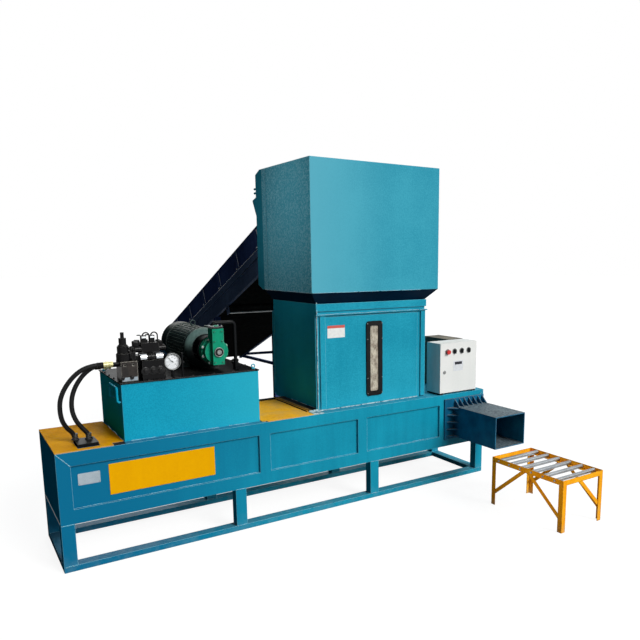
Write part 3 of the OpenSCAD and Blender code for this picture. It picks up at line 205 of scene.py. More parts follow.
def enamel(name, body, shade, bare=(168, 170, 166), dusty=(176, 168, 150), mottle=0.3, dust=0.25, wear=0.5,
           gloss=(0.32, 0.16), coat=0.2, left_coat_shade=1.0, grain=0.4, soil=0.0, runs=0.35, edge=0.006, spot=58,
           painted_light_ramp=None, dimple_glint=0.0):
    """Sprayed paint on steel: body to shade by cloud, runs and mottle, bare on chipped edges, where a pale tone
    is also a painted edge highlight, dusty on top.

    gloss: roughness, and what the cloud adds. coat: a clear coat, taken off the faces that look left as painted
    shade that darkens that side.
    soil: dust near the floor. edge: the edges' rounding, in metres. spot: the mottle's scale.
    Then a tone, the places from and to which it comes in, in metres, and their axis: painted light and shade,
    ramped across the part.
    Last, how pale the dimples of hammered paint are on the faces that look left: a painted glint, which the
    painted light ramp then leaves alone.
    """
    f = Finish(name, Specular_IOR_Level=0.0, Coat_Roughness=gloss[0])
    cloud = f.noise(1.9, 3)
    run = f.noise(16, 3, 0.6, (1, 1, 0.06))
    mott = f.noise(spot, 2, 0.6)
    # faces that look left, where the coat is taken off as painted shade
    left = f.soft(f.axis(0, "Normal"), -0.3, -0.8)
    fine = f.noise(430, 2)
    whole = CLOUD_SHARE + runs + mottle
    tone = f.soft(cloud * CLOUD_SHARE + run * runs + mott * mottle, 0.36 * whole, 0.64 * whole)
    colour = f.blend(tone, rgb(*body), rgb(*shade))
    # painted light and shade: a tone ramped in along one axis
    if painted_light_ramp:
        ramp_share = f.soft(f.axis(painted_light_ramp[3]), painted_light_ramp[1], painted_light_ramp[2])
        colour = f.blend(ramp_share * (1 - left) if dimple_glint else ramp_share, colour, rgb(*painted_light_ramp[0]))
    # painted glint: dimples made pale on the faces that look left
    if dimple_glint:
        dimples = f.soft(f.noise(88, 2, 0.6), 0.46, 0.58)
        colour = f.blend(left * dimples * dimple_glint, colour, rgb(*GLINT_TONE))
    chips = f.chips(edge, 34, 0.33, 0.50, 0.72, wear)
    # worn edges; a pale bare tone here is also a painted edge highlight
    colour = f.blend(chips, colour, rgb(*bare))
    lie = f.soft(f.axis(2, "Normal"), 0.55, 0.95) * f.soft(f.noise(7, 4, 0.6), 0.30, 0.72) * dust
    if soil:
        lie = lie + f.soft(f.axis(2), 0.16, 0.0) * f.soft(f.noise(18, 3, 0.6), 0.35, 0.7) * soil
    colour = f.blend(lie, colour, rgb(*dusty))
    # the clear coat is taken off the faces that look left: painted shade
    return f.done(colour, cloud * gloss[1] + lie * 0.3 + chips * 0.2 + gloss[0],
                  mott * grain + fine * 0.22 + run * 0.15, 0.0011, 0.35,
                  Coat_Weight=(1 - left * left_coat_shade) * (1 - lie) * coat)


def bare_steel(name, light, dark, metal=0.85, rough=(0.28, 0.2), lay=(1, 30, 30), rust=0.0, scratch=90):
    """Bare steel: drawn or rolled lay marks along one axis, matt patches and a little rust."""
    f = Finish(name)
    lines = f.noise(scratch, 3, 0.7, lay)
    patch = f.noise(8, 4, 0.6)
    colour = f.blend(f.soft(lines * 0.6 + patch * 0.4, 0.3, 0.7), rgb(*light), rgb(*dark))
    spots = f.soft(f.noise(26, 5, 0.7), 0.60, 0.72) * rust
    colour = f.blend(spots, colour, rgb(96, 58, 34))
    return f.done(colour, patch * rough[1] + spots * 0.3 + rough[0], lines, 0.0004, 0.3,
                  Metallic=(1 - spots) * metal)


def moulded(name, body, worn, rough=0.38, grain=600, level=0.4, amount=0.25):
    """Moulded plastic or rubber: a fine grain, paler rubbed places and a film of dust."""
    f = Finish(name, Specular_IOR_Level=level)
    rub = f.soft(f.noise(22, 4, 0.65), 0.42, 0.75)
    colour = f.blend(rub * amount, rgb(*body), rgb(*worn))
    return f.done(colour, rub * 0.2 + rough, f.noise(grain, 2) + rub * 0.3, 0.0003, 0.3)


def fitting_zinc():
    """Yellow zinc plate on the unions at the tank, and black paint on the two by the cover's port block."""
    f = Finish("yellow_zinc", Specular_IOR_Level=0.2)
    patch = f.noise(30, 4, 0.6)
    lines = f.noise(120, 3, 0.7)
    high = f.axis(2) > 1.05
    plated = f.blend(f.soft(patch * 0.5 + lines * 0.5, 0.3, 0.7), rgb(212, 208, 160), rgb(150, 144, 98))
    painted = f.blend(f.chips(0.002, 60, 0.3, 0.5, 0.8, 0.6), rgb(16, 16, 18), rgb(120, 116, 100))
    return f.done(f.blend(high, painted, plated), patch * 0.2 + 0.28, lines, 0.0004, 0.3, Metallic=high * 0.7)


def strip_paint():
    """Black strips; the one at the tower's foot is overpainted yellow, then dusty, in bands along the bed."""
    f = Finish("strip_paint", Specular_IOR_Level=0.05)
    x, grit, cloud = f.axis(0), f.noise(70, 4, 0.7), f.noise(9, 3)
    yellow = f.soft(x, 0.0105, 0.0125) * f.soft(x, 0.024, 0.020)
    dusty = f.soft(x, 0.030, 0.034) * f.soft(x, 0.060, 0.052) * f.soft(grit, 0.36, 0.56)
    colour = f.blend(f.soft(cloud, 0.3, 0.7), rgb(17, 19, 21), rgb(9, 10, 12))
    colour = f.blend(yellow, colour, f.blend(cloud, rgb(204, 144, 14), rgb(176, 120, 22)))
    colour = f.blend(dusty, colour, rgb(158, 124, 66))
    return f.done(colour, cloud * 0.2 + 0.4, grit, 0.0006, 0.3)


def duct_paint():
    """Dark blue paint: smooth on the sides, rubbed grey and hammered where film slides over the top."""
    f = Finish("duct_blue", Specular_IOR_Level=0.06)
    top = f.soft(f.axis(2, "Normal"), 0.5, 0.9)
    dents = f.cells(60)
    cloud = f.noise(6, 4, 0.6)
    side = f.blend(f.soft(cloud, 0.3, 0.7), rgb(20, 110, 146), rgb(12, 80, 114))
    rubbed = f.blend(f.soft(dents * 0.7 + cloud * 0.5, 0.25, 0.75), rgb(52, 66, 76), rgb(104, 118, 124))
    chips = f.chips(0.004, 30, 0.3, 0.45, 0.7, 0.6)
    colour = f.blend(chips, f.blend(top, side, rubbed), rgb(140, 148, 156))
    return f.done(colour, cloud * 0.2 + top * 0.1 + 0.3, dents * top + f.noise(400, 2) * 0.2, 0.0016, 0.5)


def window_dust():
    """A clear pane with straw and dust packed behind it: blotches, pale smears and fine fibres."""
    f = Finish("dusty_pane", Specular_IOR_Level=0.5, Coat_Weight=0.6, Coat_Roughness=0.05)
    blot = f.noise(24, 4, 0.7, (1.4, 1, 0.6))
    fibre = f.noise(210, 3, 0.7, (1, 1, 0.25))
    colour = f.blend(f.soft(blot, 0.34, 0.66), rgb(112, 100, 84), rgb(196, 188, 168))
    colour = f.blend(f.soft(fibre, 0.5, 0.7) * 0.5, colour, rgb(226, 220, 204))
    colour = f.blend(f.soft(f.noise(60, 3, 0.6), 0.62, 0.72) * 0.8, colour, rgb(60, 52, 44))
    return f.done(colour, blot * 0.3 + 0.35, fibre + blot, 0.0012, 0.5)


def clear_glass():
    """Clear cover glass with a few faint wiping marks."""
    f = Finish("gauge_glass", Specular_IOR_Level=0.5)
    wipe = f.soft(f.noise(70, 3, 0.6, (1, 1, 0.3)), 0.5, 0.75)
    return f.done(rgb(235, 240, 242), wipe * 0.12 + 0.03, wipe, 0.0002, 0.1, Alpha=wipe * 0.05 + 0.05)


def paper(name, body, band=None, level=0.0):
    """A film label: faint yellowing and, above a height in metres, a plain band of colour."""
    f = Finish(name, Specular_IOR_Level=0.4)
    age = f.noise(40, 4, 0.6)
    colour = f.blend(f.soft(age, 0.35, 0.7) * 0.4, rgb(*body), rgb(*(int(c * 0.88) for c in body)))
    if band:
        colour = f.blend(f.axis(2) > level, colour, rgb(*band))
    return f.done(colour, age * 0.15 + 0.3, f.noise(300, 2), 0.0002, 0.2)


# pale cyan on the teal finishes' worn edges: partly chipped paint, partly a painted edge highlight
PALE_EDGE_HIGHLIGHT = (150, 200, 212)
# weld beads: heavy wear to a near-white tone, partly bare metal, partly a painted glint
SEAMS = {"dust": 0.1, "wear": 0.9, "left_coat_shade": 0.0, "edge": 0.002, "grain": 1.2}
# painted shade: the bed's teal is ramped darker towards its left end
TEAL = enamel("teal_enamel", (20, 148, 176), (12, 128, 156), bare=PALE_EDGE_HIGHLIGHT, dusty=(150, 172, 176), dust=0.12,
              wear=0.6, soil=0.12, mottle=0.4, spot=100, painted_light_ramp=((3, 102, 139), 0.3, -1.7, 0))
# painted light: the tank's teal is ramped lighter towards its right end
TANK = enamel("tank_enamel", (18, 154, 184), (2, 132, 164), bare=PALE_EDGE_HIGHLIGHT, dust=0.1, wear=0.4, mottle=0.9,
              runs=0.05, grain=0.8, spot=125, painted_light_ramp=((44, 174, 197), -1.4, 0.2, 0))
TOWER = enamel("tower_enamel", (36, 158, 184), (18, 136, 163), bare=PALE_EDGE_HIGHLIGHT, dust=0.12, mottle=0.6, runs=0.15,
               spot=110)
# painted light: the hopper's front is ramped lighter towards its left, and its left face carries a painted glint
HOPPER = enamel("hopper_enamel", (60, 160, 183), (40, 142, 167), bare=PALE_EDGE_HIGHLIGHT, dust=0.1, mottle=0.6, runs=0.1,
                gloss=(0.30, 0.12), left_coat_shade=0.0, grain=0.9, spot=100, dimple_glint=0.8,
                painted_light_ramp=((88, 170, 190), 0.95, -0.3, 0))
PAN = enamel("pan_enamel", (48, 150, 176), (36, 128, 152), bare=PALE_EDGE_HIGHLIGHT, dust=0.1, wear=0.45, mottle=0.5,
             spot=90)
# painted shade: the taper ring's paint is made near-black because it faces down
SHADED_TAPER = enamel("taper_enamel_shaded", (2, 34, 58), (2, 24, 44), bare=(60, 120, 140), dust=0.0, wear=0.4, coat=0.1)
COVER = enamel("cover_yellow", (218, 156, 4), (196, 131, 6), dusty=(150, 100, 24), dust=0.3, mottle=0.5,
               coat=0.03)
# the right cover's yellow is lighter than the left cover's: painted light against the tower's shadow, with dust
# lying on top
DUSTED_LIT = enamel("cover_yellow_dusted_lit", (250, 186, 38), (226, 158, 34), dusty=(202, 166, 100), dust=0.55,
                mottle=0.5, coat=0.03)
PLATE = enamel("plate_yellow", (228, 166, 1), (222, 158, 2), dust=0.0, wear=0.25, grain=0.2, coat=0.08)
ORANGE = enamel("table_orange", (250, 184, 36), (230, 150, 20), bare=(120, 92, 60), dust=0.1, wear=0.6,
                soil=0.4, coat=0.12)
BLACK = enamel("black_enamel", (14, 16, 18), (8, 9, 11), bare=(84, 88, 90), dusty=(84, 80, 72), dust=0.2,
               gloss=(0.36, 0.2))
LID = enamel("lid_black", (16, 17, 19), (8, 9, 10), bare=(110, 114, 116), dusty=(64, 62, 58), dust=0.16,
             wear=0.6, gloss=(0.26, 0.3), coat=0.14)
VALVE = enamel("valve_black", (15, 15, 17), (7, 7, 8), bare=(120, 120, 116), dusty=(66, 62, 56), wear=0.75,
               gloss=(0.24, 0.2), coat=0.25, left_coat_shade=0.5, edge=0.0025)
IRON = enamel("manifold_iron", (52, 46, 42), (24, 22, 21), bare=(186, 182, 172), dusty=(120, 112, 98),
              dust=0.3, wear=0.9, gloss=(0.24, 0.2), coat=0.5, left_coat_shade=0.5)
OXIDE = enamel("black_oxide", (22, 22, 24), (12, 12, 13), bare=(110, 108, 102), dusty=(70, 66, 58), dust=0.2,
               wear=0.7, gloss=(0.26, 0.2), coat=0.4, left_coat_shade=0.3, edge=0.0015)
GREEN = enamel("pump_green", (14, 146, 112), (8, 116, 90), bare=(150, 170, 160), dust=0.12, edge=0.003,
               grain=0.7)
# the motor's grey-green paint, made dark on the body: painted shade in the gaps between the fins
MOTOR_SHADED = enamel("motor_grey_green_shaded", (54, 72, 72), (38, 51, 52), bare=(140, 150, 146), dust=0.2, wear=0.4,
               edge=0.002, grain=0.8, gloss=(0.42, 0.15))
COWL = enamel("cowl_grey_green", (44, 56, 57), (30, 40, 41), dust=0.2, wear=0.4, gloss=(0.4, 0.15))
# and made light on the thin fins: a painted highlight on their edges
FIN_HIGHLIGHT = enamel("fin_grey_green_highlight", (112, 136, 132), (84, 108, 104), bare=(176, 188, 182), dust=0.2, wear=0.8,
             edge=0.0015)
# painted shade: the end bell is ramped dark below about the motor's axis
BELL = enamel("end_bell_grey_green", (100, 126, 122), (72, 96, 93), bare=(150, 156, 150), dust=0.15, wear=0.4,
              grain=0.8, gloss=(0.4, 0.15), coat=0.15, painted_light_ramp=((24, 32, 32), 1.42, 1.33, 2))
CABINET = enamel("cabinet_coat", (227, 228, 226), (219, 221, 219), bare=(150, 150, 148),
                 dusty=(196, 190, 176), dust=0.3, wear=0.15, mottle=0.15, runs=0.15, grain=0.9, gloss=(0.42, 0.1))
STARTER = enamel("starter_coat", (96, 92, 84), (78, 76, 70), dust=0.4, wear=0.3, grain=0.9, gloss=(0.45, 0.1))
NAVY = enamel("conveyor_navy", (52, 70, 116), (36, 52, 92), bare=(110, 122, 150), dusty=(70, 76, 92),
              dust=0.3, wear=0.6, gloss=(0.4, 0.18), coat=0.12)
# a lighter copy of the sideboards' navy on the conveyor frame: a painted sheen
SHEEN_CHANNEL = enamel("channel_navy_sheen", (82, 100, 132), (58, 74, 102), bare=(130, 142, 166), dusty=(80, 86, 100),
                 dust=0.2, wear=0.6, mottle=0.8, spot=90, gloss=(0.4, 0.18), coat=0.12)
GEAR = enamel("gear_blue", (36, 82, 116), (26, 64, 96), dust=0.3, wear=0.4, grain=0.8)
# pale teal beads with near-white speckle: partly bare metal, partly a painted glint
WELD = enamel("weld_teal", (70, 168, 194), (12, 112, 146), bare=(222, 234, 236), mottle=0.9,
              gloss=(0.22, 0.2), coat=0.5, **SEAMS)
# pale cyan corner welds speckled with near-white: partly bare metal, partly a painted glint
CORNER = enamel("corner_weld", (178, 206, 210), (26, 104, 130), bare=(232, 238, 238), mottle=1.8, runs=0.1,
                gloss=(0.25, 0.2), coat=0.4, spot=44, **SEAMS)
# near-white beads on the navy conveyor: a painted highlight that draws lit seam lines
HIGHLIGHT_SEAM = enamel("weld_navy_highlight", (236, 240, 248), (178, 188, 206), bare=(246, 248, 250), mottle=0.9,
                     gloss=(0.25, 0.2), coat=0.4, **SEAMS)
SEAM = enamel("weld_orange", (232, 168, 40), (190, 116, 22), dust=0.1, wear=0.4, mottle=0.6,
              gloss=(0.25, 0.2), grain=1.2)
MILL = bare_steel("mill_steel", (86, 90, 92), (48, 50, 52), 0.6, (0.42, 0.2), (1, 12, 12), 0.5, 40)
ROLLER = bare_steel("roller_zinc", (182, 187, 191), (116, 122, 127), 0.9, (0.22, 0.2), (30, 1, 1), 0.15)
PULLEY = bare_steel("pulley_steel", (150, 154, 156), (100, 104, 106), 0.8, (0.3, 0.25), (30, 1, 1), 0.4)
ZINC = bare_steel("zinc_hardware", (162, 165, 164), (100, 103, 102), 0.8, (0.3, 0.25), (1, 1, 1), 0.06, 160)
CHROME = bare_steel("rod_chrome", (222, 226, 230), (190, 195, 200), 1.0, (0.08, 0.06), (1, 60, 60), 0.0, 60)
ALLOY = bare_steel("plate_alloy", (170, 182, 190), (128, 142, 152), 0.25, (0.45, 0.15), (1, 60, 60), 0.1, 50)
RUBBER = moulded("seal_rubber", (12, 13, 15), (46, 46, 46), 0.5, 500, 0.12)
HOSE = moulded("hose_rubber", (9, 10, 11), (32, 33, 34), 0.42, 700, 0.15, 0.35)
KNOB = moulded("knob_black", (20, 24, 28), (60, 62, 64), 0.32)
RED = moulded("knob_red", (196, 30, 30), (214, 70, 60), 0.25, 500, 0.4)
BELT = moulded("belt_rubber", (30, 30, 29), (62, 60, 55), 0.8, 260, 0.0, 0.45)
DISPLAY = moulded("display_black", (14, 18, 34), (40, 46, 66), 0.15, 400, 0.5)
LABEL = paper("label_film", (226, 228, 226), (196, 84, 74), 1.461)
DOOR_LABEL = paper("door_label_film", (214, 218, 222))
DIAL = paper("dial_white", (246, 249, 252))
INK = paper("dial_ink", (22, 22, 24))
BRASS, STRIP, DUCT, PANE, GLASS = fitting_zinc(), strip_paint(), duct_paint(), window_dust(), clear_glass()

WEAR = {
    TEAL: "undercarriage front_wall rear_wall top_deck", TANK: "tank_body", TOWER: "tower_shell",
    HOPPER: "hopper_shell", PAN: "hopper_pan", SHADED_TAPER: "taper_ring", COVER: "left_cover",
    DUSTED_LIT: "right_cover", ORANGE: "table_frame", STRIP: "base_strips", LID: "tank_cover", VALVE: "valve_bank",
    BLACK: "main_barrel bag_barrel bell_housing pipes gauge_needle gauge_body",
    IRON: "valve_manifold", GREEN: "pump", MOTOR_SHADED: "motor_body", COWL: "motor_cowl",
    CABINET: "cabinet_body cabinet_door", STARTER: "starter_box", NAVY: "sideboards conveyor_legs",
    SHEEN_CHANNEL: "conveyor_frame", GEAR: "gear_motor", MILL: "bed_floor main_ram bag_pusher",
    ROLLER: " ".join(f"table_roller_{i}" for i in range(1, 7)), PULLEY: "head_pulley tail_pulley motor_rotor",
    ZINC: "door_lock", CHROME: "main_rod bag_rod", BRASS: "hose_fittings", RUBBER: "window_frame",
    HOSE: "hose_outer hose_inner", KNOB: "selector_1 selector_2 selector_3", RED: "stop_button",
    BELT: "conveyor_belt return_roller", DUCT: "outlet_duct outlet_flange", PANE: "window_pane"}
for finish, names in WEAR.items():
    for name in names.split():
        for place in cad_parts[name].material_slots:
            place.material = finish


# ---------------------------------------------------------------- light
def seen(net):
    """1 for what the camera sees, straight, in a mirror or through glass."""
    rays = net.node("ShaderNodeLightPath").outputs
    straight = net.math("MAXIMUM", Val(net, rays["Is Camera Ray"]), Val(net, rays["Is Glossy Ray"]))
    return net.math("MAXIMUM", straight, Val(net, rays["Is Transmission Ray"]))


def lamp(name, kind, loc, aim, power, size, colour=(1, 1, 1)):
    """A sun or a spot at loc that looks at aim; size is the sun's disc or the spot's cone, in degrees."""
    d = bpy.data.lights.new(name, kind)
    d.energy = power
    d.color = colour
    if kind == "SUN":
        d.angle = math.radians(size)
    else:
        d.spot_size, d.spot_blend, d.shadow_soft_size = math.radians(size), 1.0, 0.35
    o = bpy.data.objects.new(name, d)
    o.location = loc
    o.rotation_euler = (Vector(aim) - Vector(loc)).to_track_quat("-Z", "Y").to_euler()
    bpy.context.scene.collection.objects.link(o)


bpy.context.scene.view_settings.view_transform = "Standard"
world = bpy.data.worlds.new("studio")
bpy.context.scene.world = world
world.use_nodes = True
world.node_tree.nodes.clear()
sky = Net(world.node_tree)
BRIGHT_WAY = (0.70, -0.47, 0.54)
tilt = sky.dot(sky.node("ShaderNodeTexCoord").outputs["Generated"], BRIGHT_WAY)
level = sky.soft(tilt, 0.2, 1.0) * 0.95 + 0.015
lit = sky.node("ShaderNodeBackground", {}, {"Color": (0.94, 0.98, 1.0, 1), "Strength": level})
white = sky.node("ShaderNodeBackground", {}, {"Color": (1, 1, 1, 1), "Strength": 1.0})
backdrop = sky.node("ShaderNodeMixShader", {}, {0: seen(sky), 1: lit.outputs[0], 2: white.outputs[0]})
sky.node("ShaderNodeOutputWorld", {}, {0: backdrop.outputs[0]})

lamp("key", "SUN", (2.1, -6.1, 4.3), (0, 0, 0.6), 2.85, 26, (1.0, 0.99, 0.97))
lamp("back_fill", "SUN", (1.2, 5.5, 3.6), (0, 0, 0.6), 1.3, 40, (0.97, 0.99, 1.0))
lamp("high_left", "SPOT", (-1.9, 0.1, 3.05), (0.03, 0.36, 2.42), 56, 48)
lamp("low_left", "SPOT", (0.2, -1.7, 0.85), (1.5, -1.1, 0.22), 55, 40, (1.0, 0.76, 0.64))

mesh = bpy.data.meshes.new("floor")
mesh.from_pydata([(-60, -40, 0), (60, -40, 0), (60, 80, 0), (-60, 80, 0)], [], [(0, 1, 2, 3)])
floor = bpy.data.objects.new("floor", mesh)
bpy.context.scene.collection.objects.link(floor)
ground = Finish("floor", Specular_IOR_Level=0.0)
ground.put(ground.shader.inputs["Base Color"], (0.17, 0.17, 0.17, 1))
ground.put(ground.shader.inputs["Roughness"], 0.8)
glow = ground.node("ShaderNodeEmission", {}, {"Color": (1, 1, 1, 1), "Strength": seen(ground) * 0.89})
total = ground.node("ShaderNodeAddShader", {}, {0: ground.shader.outputs[0], 1: glow.outputs[0]})
ground.tree.links.new(total.outputs[0], ground.tree.nodes["Material Output"].inputs["Surface"])
mesh.materials.append(ground.mat)


# ---------------------------------------------------------------- surfaces
def angles(n):
    return np.linspace(0, 2 * np.pi, n, endpoint=False)


def hexagon(a):
    """The radius at the angles a of a hexagon of width 2: 1 / cos of the angle from its side's middle."""
    return 1 / np.cos((a + np.pi / 6) % (np.pi / 3) - np.pi / 6)


def square_to(axis):
    """The axis made a unit, and two unit directions square to it, so that the three are right-handed."""
    axis = np.asarray(axis, float) / np.linalg.norm(axis)
    e1 = np.cross(axis, X if abs(axis[0]) < 0.9 else Y)
    e1 /= np.linalg.norm(e1)
    return axis, e1, np.cross(axis, e1)


def smooth(points, per=12):
    """Catmull-Rom curve through the points: each place on it weighs its four neighbours by cubics."""
    p = np.array(points, float)
    p = np.vstack([2 * p[0] - p[1], p, 2 * p[-1] - p[-2]])
    t = np.linspace(0, 1, per, endpoint=False)[None, :, None]
    a, b, c, d = p[:-3, None], p[1:-2, None], p[2:-1, None], p[3:, None]
    q = 0.5 * (2 * b + (c - a) * t + (2 * a - 5 * b + 4 * c - d) * t ** 2 + (3 * b - a - 3 * c + d) * t ** 3)
    return np.vstack([q.reshape(-1, 3), p[-2][None]])


class Piece:
    """Surfaces gathered into one mesh. Points are in millimetres from the bed's front left corner."""

    def __init__(self):
        self.v, self.f, self.n = [], [], 0

    def add(self, points, faces):
        self.v.append(points)
        self.f += faces
        self.n += len(points)

    def grid(self, p, closed=False):
        """Quads between rings p[i, j]; j runs round, turning right-handed about the way that i goes."""
        rows, cols = p.shape[:2]
        k = self.n + np.arange(rows * cols).reshape(rows, cols)
        a, b = (k, np.roll(k, -1, 0)) if closed else (k[:-1], k[1:])
        quads = np.stack([a, np.roll(a, -1, 1), np.roll(b, -1, 1), b], -1).reshape(-1, 4).tolist()
        caps = [] if closed else [k[0][::-1].tolist(), k[-1].tolist()]
        self.add(p.reshape(-1, 3), quads + caps)

    def lathe(self, p, axis, profile, n=28, closed=False):
        """A profile of pairs (radius, height) turned round the axis at p.

        A third number in each is half the width of a hexagon that cuts the radius. A closed profile goes back to
        where it began and leaves the middle open.
        """
        w, e1, e2 = square_to(axis)
        a = angles(n)
        pr = np.array(profile, float)
        r = pr[:, :1] * np.ones(n)
        if pr.shape[1] == 3:
            r = np.minimum(hexagon(a)[None] * pr[:, 2:3], r)
        spoke = np.cos(a)[:, None] * e1 + np.sin(a)[:, None] * e2
        self.grid(np.asarray(p, float) + pr[:, 1][:, None, None] * w + r[..., None] * spoke[None], closed)

    def tube(self, path, radius, sides=10, closed=False):
        """path(s) + radius(s) * (cos a * n + sin a * b), with n and b square to the path."""
        p = np.asarray(path, float)
        t = (np.roll(p, -1, 0) - np.roll(p, 1, 0)) if closed else np.gradient(p, axis=0)
        t /= np.linalg.norm(t, axis=1)[:, None]
        aside = np.array([0.31, 0.17, 0.93]) if abs(t[0] @ Y) > 0.7 else Y  # a way that the path never takes
        n = np.cross(t, aside)
        n /= np.linalg.norm(n, axis=1)[:, None]
        b = np.cross(t, n)
        a = angles(sides)[None, :, None]
        r = np.broadcast_to(np.asarray(radius, float), (len(p),))[:, None, None]
        self.grid(p[:, None] + r * (np.cos(a) * n[:, None] + np.sin(a) * b[:, None]), closed)

    def hoop(self, x, y, z, radius, bar, n, sides=10):
        """A ring of round bar that faces the front."""
        a = angles(n)
        ring = np.stack([x + radius * np.cos(a), y + 0 * a, z + radius * np.sin(a)], 1)
        self.tube(ring, bar, sides, True)

    def bead(self, a, b, r=4.0, pitch=7.0):
        """A weld bead from a to b: a tube that swells once a pitch, thins at the ends and wanders a bit."""
        a, b = np.array(a, float), np.array(b, float)
        length = np.linalg.norm(b - a)
        s = np.linspace(0, 1, max(6, int(length / pitch * 3)))
        _, e1, e2 = square_to(b - a)
        drift = np.sin(s * length / 31 + a.sum()) * 0.154 * r
        ends = np.clip(np.minimum(s, 1 - s) * length / 4, 0.15, 1)
        ripple = 0.85 + 0.3 * np.abs(np.sin(s * length / pitch * np.pi))
        self.tube(a + s[:, None] * (b - a) + drift[:, None] * (e1 + e2), r * ripple * ends, 7)

    def stitch(self, a, b, run, gap, r=4.0):
        """Beads of one length along a line, with gaps between them."""
        a, b = np.array(a, float), np.array(b, float)
        length = np.linalg.norm(b - a)
        d = (b - a) / length
        for s in np.arange(gap / 2, length - run, run + gap):
            self.bead(a + d * s, a + d * (s + run), r)

    def bolt(self, p, axis, af, washer=True):
        """A washer, and a head of width af across its flats whose corners are turned down."""
        g, h, base = 0.5 * af, 0.62 * af, 0.0
        if washer:
            base = 0.14 * af
            self.lathe(p, axis, [(1.05 * af, 0), (1.05 * af, base * 0.8), (0.98 * af, base)], 20)
        self.lathe(p, axis, [(1.3 * g, base, g), (1.3 * g, base + 0.72 * h, g), (1.06 * g, base + 0.9 * h, g),
                             (0.88 * g, base + h, g), (0.5 * g, base + h * 1.01, g)], 24)

    def socket(self, p, axis, r):
        """A socket head screw: a drum with a sunk middle, as one profile that turns in on itself."""
        self.lathe(p, axis, [(r, 0), (r, 1.2 * r), (0.92 * r, 1.35 * r), (0.56 * r, 1.35 * r),
                             (0.5 * r, 0.7 * r), (0.02 * r, 0.66 * r)], 20)

    def dome(self, p, axis, r):
        """A domed rivet or screw head, a quarter ellipse turned round the axis."""
        a = np.linspace(0, np.pi / 2 - 0.04, 6)
        self.lathe(p, axis, np.stack([r * np.cos(a), 0.5 * r * np.sin(a)], 1), 16)

    def slab(self, p, u, v, w, h, t, corner=4.0, soft=0.5):
        """A plate w by h with rounded corners, whose outline is drawn in round the edge as it rises to t."""
        u, v = np.asarray(u, float), np.asarray(v, float)
        quarter = np.linspace(0, np.pi / 2, 5)
        ang = (np.arange(4) * np.pi / 2)[:, None] + quarter[None]
        rows = []
        for inset, height in ((0, 0), (0, t - soft), (0.3 * soft, t - 0.3 * soft), (soft, t), (2 * soft, t)):
            c = max(corner - inset, 0.05)
            near, far_x, far_y = inset + c, w - inset - c, h - inset - c
            x = (np.array([far_x, near, near, far_x])[:, None] + c * np.cos(ang)).ravel()
            y = (np.array([far_y, far_y, near, near])[:, None] + c * np.sin(ang)).ravel()
            rows.append(np.asarray(p, float) + x[:, None] * u + y[:, None] * v + height * np.cross(u, v))
        self.grid(np.array(rows))

    def pebble(self, c, half, e=0.35):
        """A rounded block, c + (a C(v) C(u), b C(v) S(u), h S(v)): C and S are cos and sin to the power e."""
        around, upward = 24, 13
        u = np.linspace(0, 2 * np.pi, around, endpoint=False)[None] + np.pi / around
        v = np.linspace(-np.pi / 2 + 0.06, np.pi / 2 - 0.06, upward)[:, None]

        def pw(x):
            return np.sign(x) * np.abs(x) ** e

        cv, sv = pw(np.cos(v)), pw(np.sin(v))
        p = np.stack([half[0] * cv * pw(np.cos(u)), half[1] * cv * pw(np.sin(u)), half[2] * sv + 0 * u], -1)
        self.grid(np.asarray(c, float) + p)

    def make(self, name, finish, body="baler"):
        me = bpy.data.meshes.new(name)
        v = np.vstack(self.v) / 1000 + np.array([OX, OY, 0])
        me.from_pydata(v.tolist(), [], self.f)
        me.polygons.foreach_set("use_smooth", [True] * len(me.polygons))
        me.set_sharp_from_angle(angle=math.radians(38))
        me.materials.append(finish)
        o = bpy.data.objects.new(name, me)
        bpy.context.scene.collection.objects.link(o)
        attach(o, body)
        return o


def plates(name, finish, slot, *slabs, body="baler"):
    """One piece made of plates, each given as slab() takes it."""
    s = Piece()
    for slab in slabs:
        s.slab(*slab)
    s.make(name, finish, body)


# ---------------------------------------------------------------- welds
LEGS, TUBE, FOOT, RAIL = (0, 1182, 2382, 3576), 84, 40, 320  # the undercarriage's uprights, from foot to rail
PANELS = ((86, 1384), (1474, 2260), (2350, 3130))  # the bed's sunk panels
PANEL_Y, PANEL_BACK, PANEL_LOW, PANEL_HIGH = 18, 702, 418, 706
DECK = 801  # the covers' top
RING = 1750  # the hopper's lower rim
s = Piece()
for a, b in PANELS:
    s.stitch((a + 8, PANEL_Y, PANEL_LOW), (b - 8, PANEL_Y, PANEL_LOW), 130, 90, 3.6)
    s.stitch((a + 30, PANEL_Y, PANEL_HIGH), (b - 30, PANEL_Y, PANEL_HIGH), 80, 240, 3.0)
    s.stitch((a + 30, PANEL_BACK, PANEL_LOW), (b - 30, PANEL_BACK, PANEL_LOW), 130, 120, 3.6)
for x in LEGS:
    for y, z in ((0.5, FOOT), (0.5, RAIL), (719.5, FOOT)):
        s.bead((x + 4, y, z), (x + TUBE - 4, y, z), 3.2)
    # beads stand off an upright's sides, but at the bed's two ends on its face
    for side in (x - 0.5 if x > LEGS[0] else x + 4.4, x + TUBE + (0.5 if x < LEGS[-1] else -4.4)):
        for z in (FOOT, RAIL - 1):
            s.bead((side, 4, z), (side, 66, z), 3.4)
s.bead((3, 0.3, 797), (84, 0.3, 708), 2.8)
s.bead((3576, 0.3, 708), (3657, 0.3, 797), 2.8)
for x in (1939.5, 3020.5):
    s.stitch((x, 103, 830), (x, 103, 1540), 60, 110, 3.2)
s.bead((1936, 72.5, 1575), (3028, 72.5, 1575), 2.6)
s.stitch((1859, 13, RING), (3101, 13, RING), 200, 12, 3.0)
for x in (1859, 3101):
    s.stitch((x, 14, RING), (x, 860, RING), 200, 12, 3.0)
for x in (438.5, 1417.5):
    s.stitch((x, 62, DECK), (x, 715, DECK), 120, 60, 3.2)
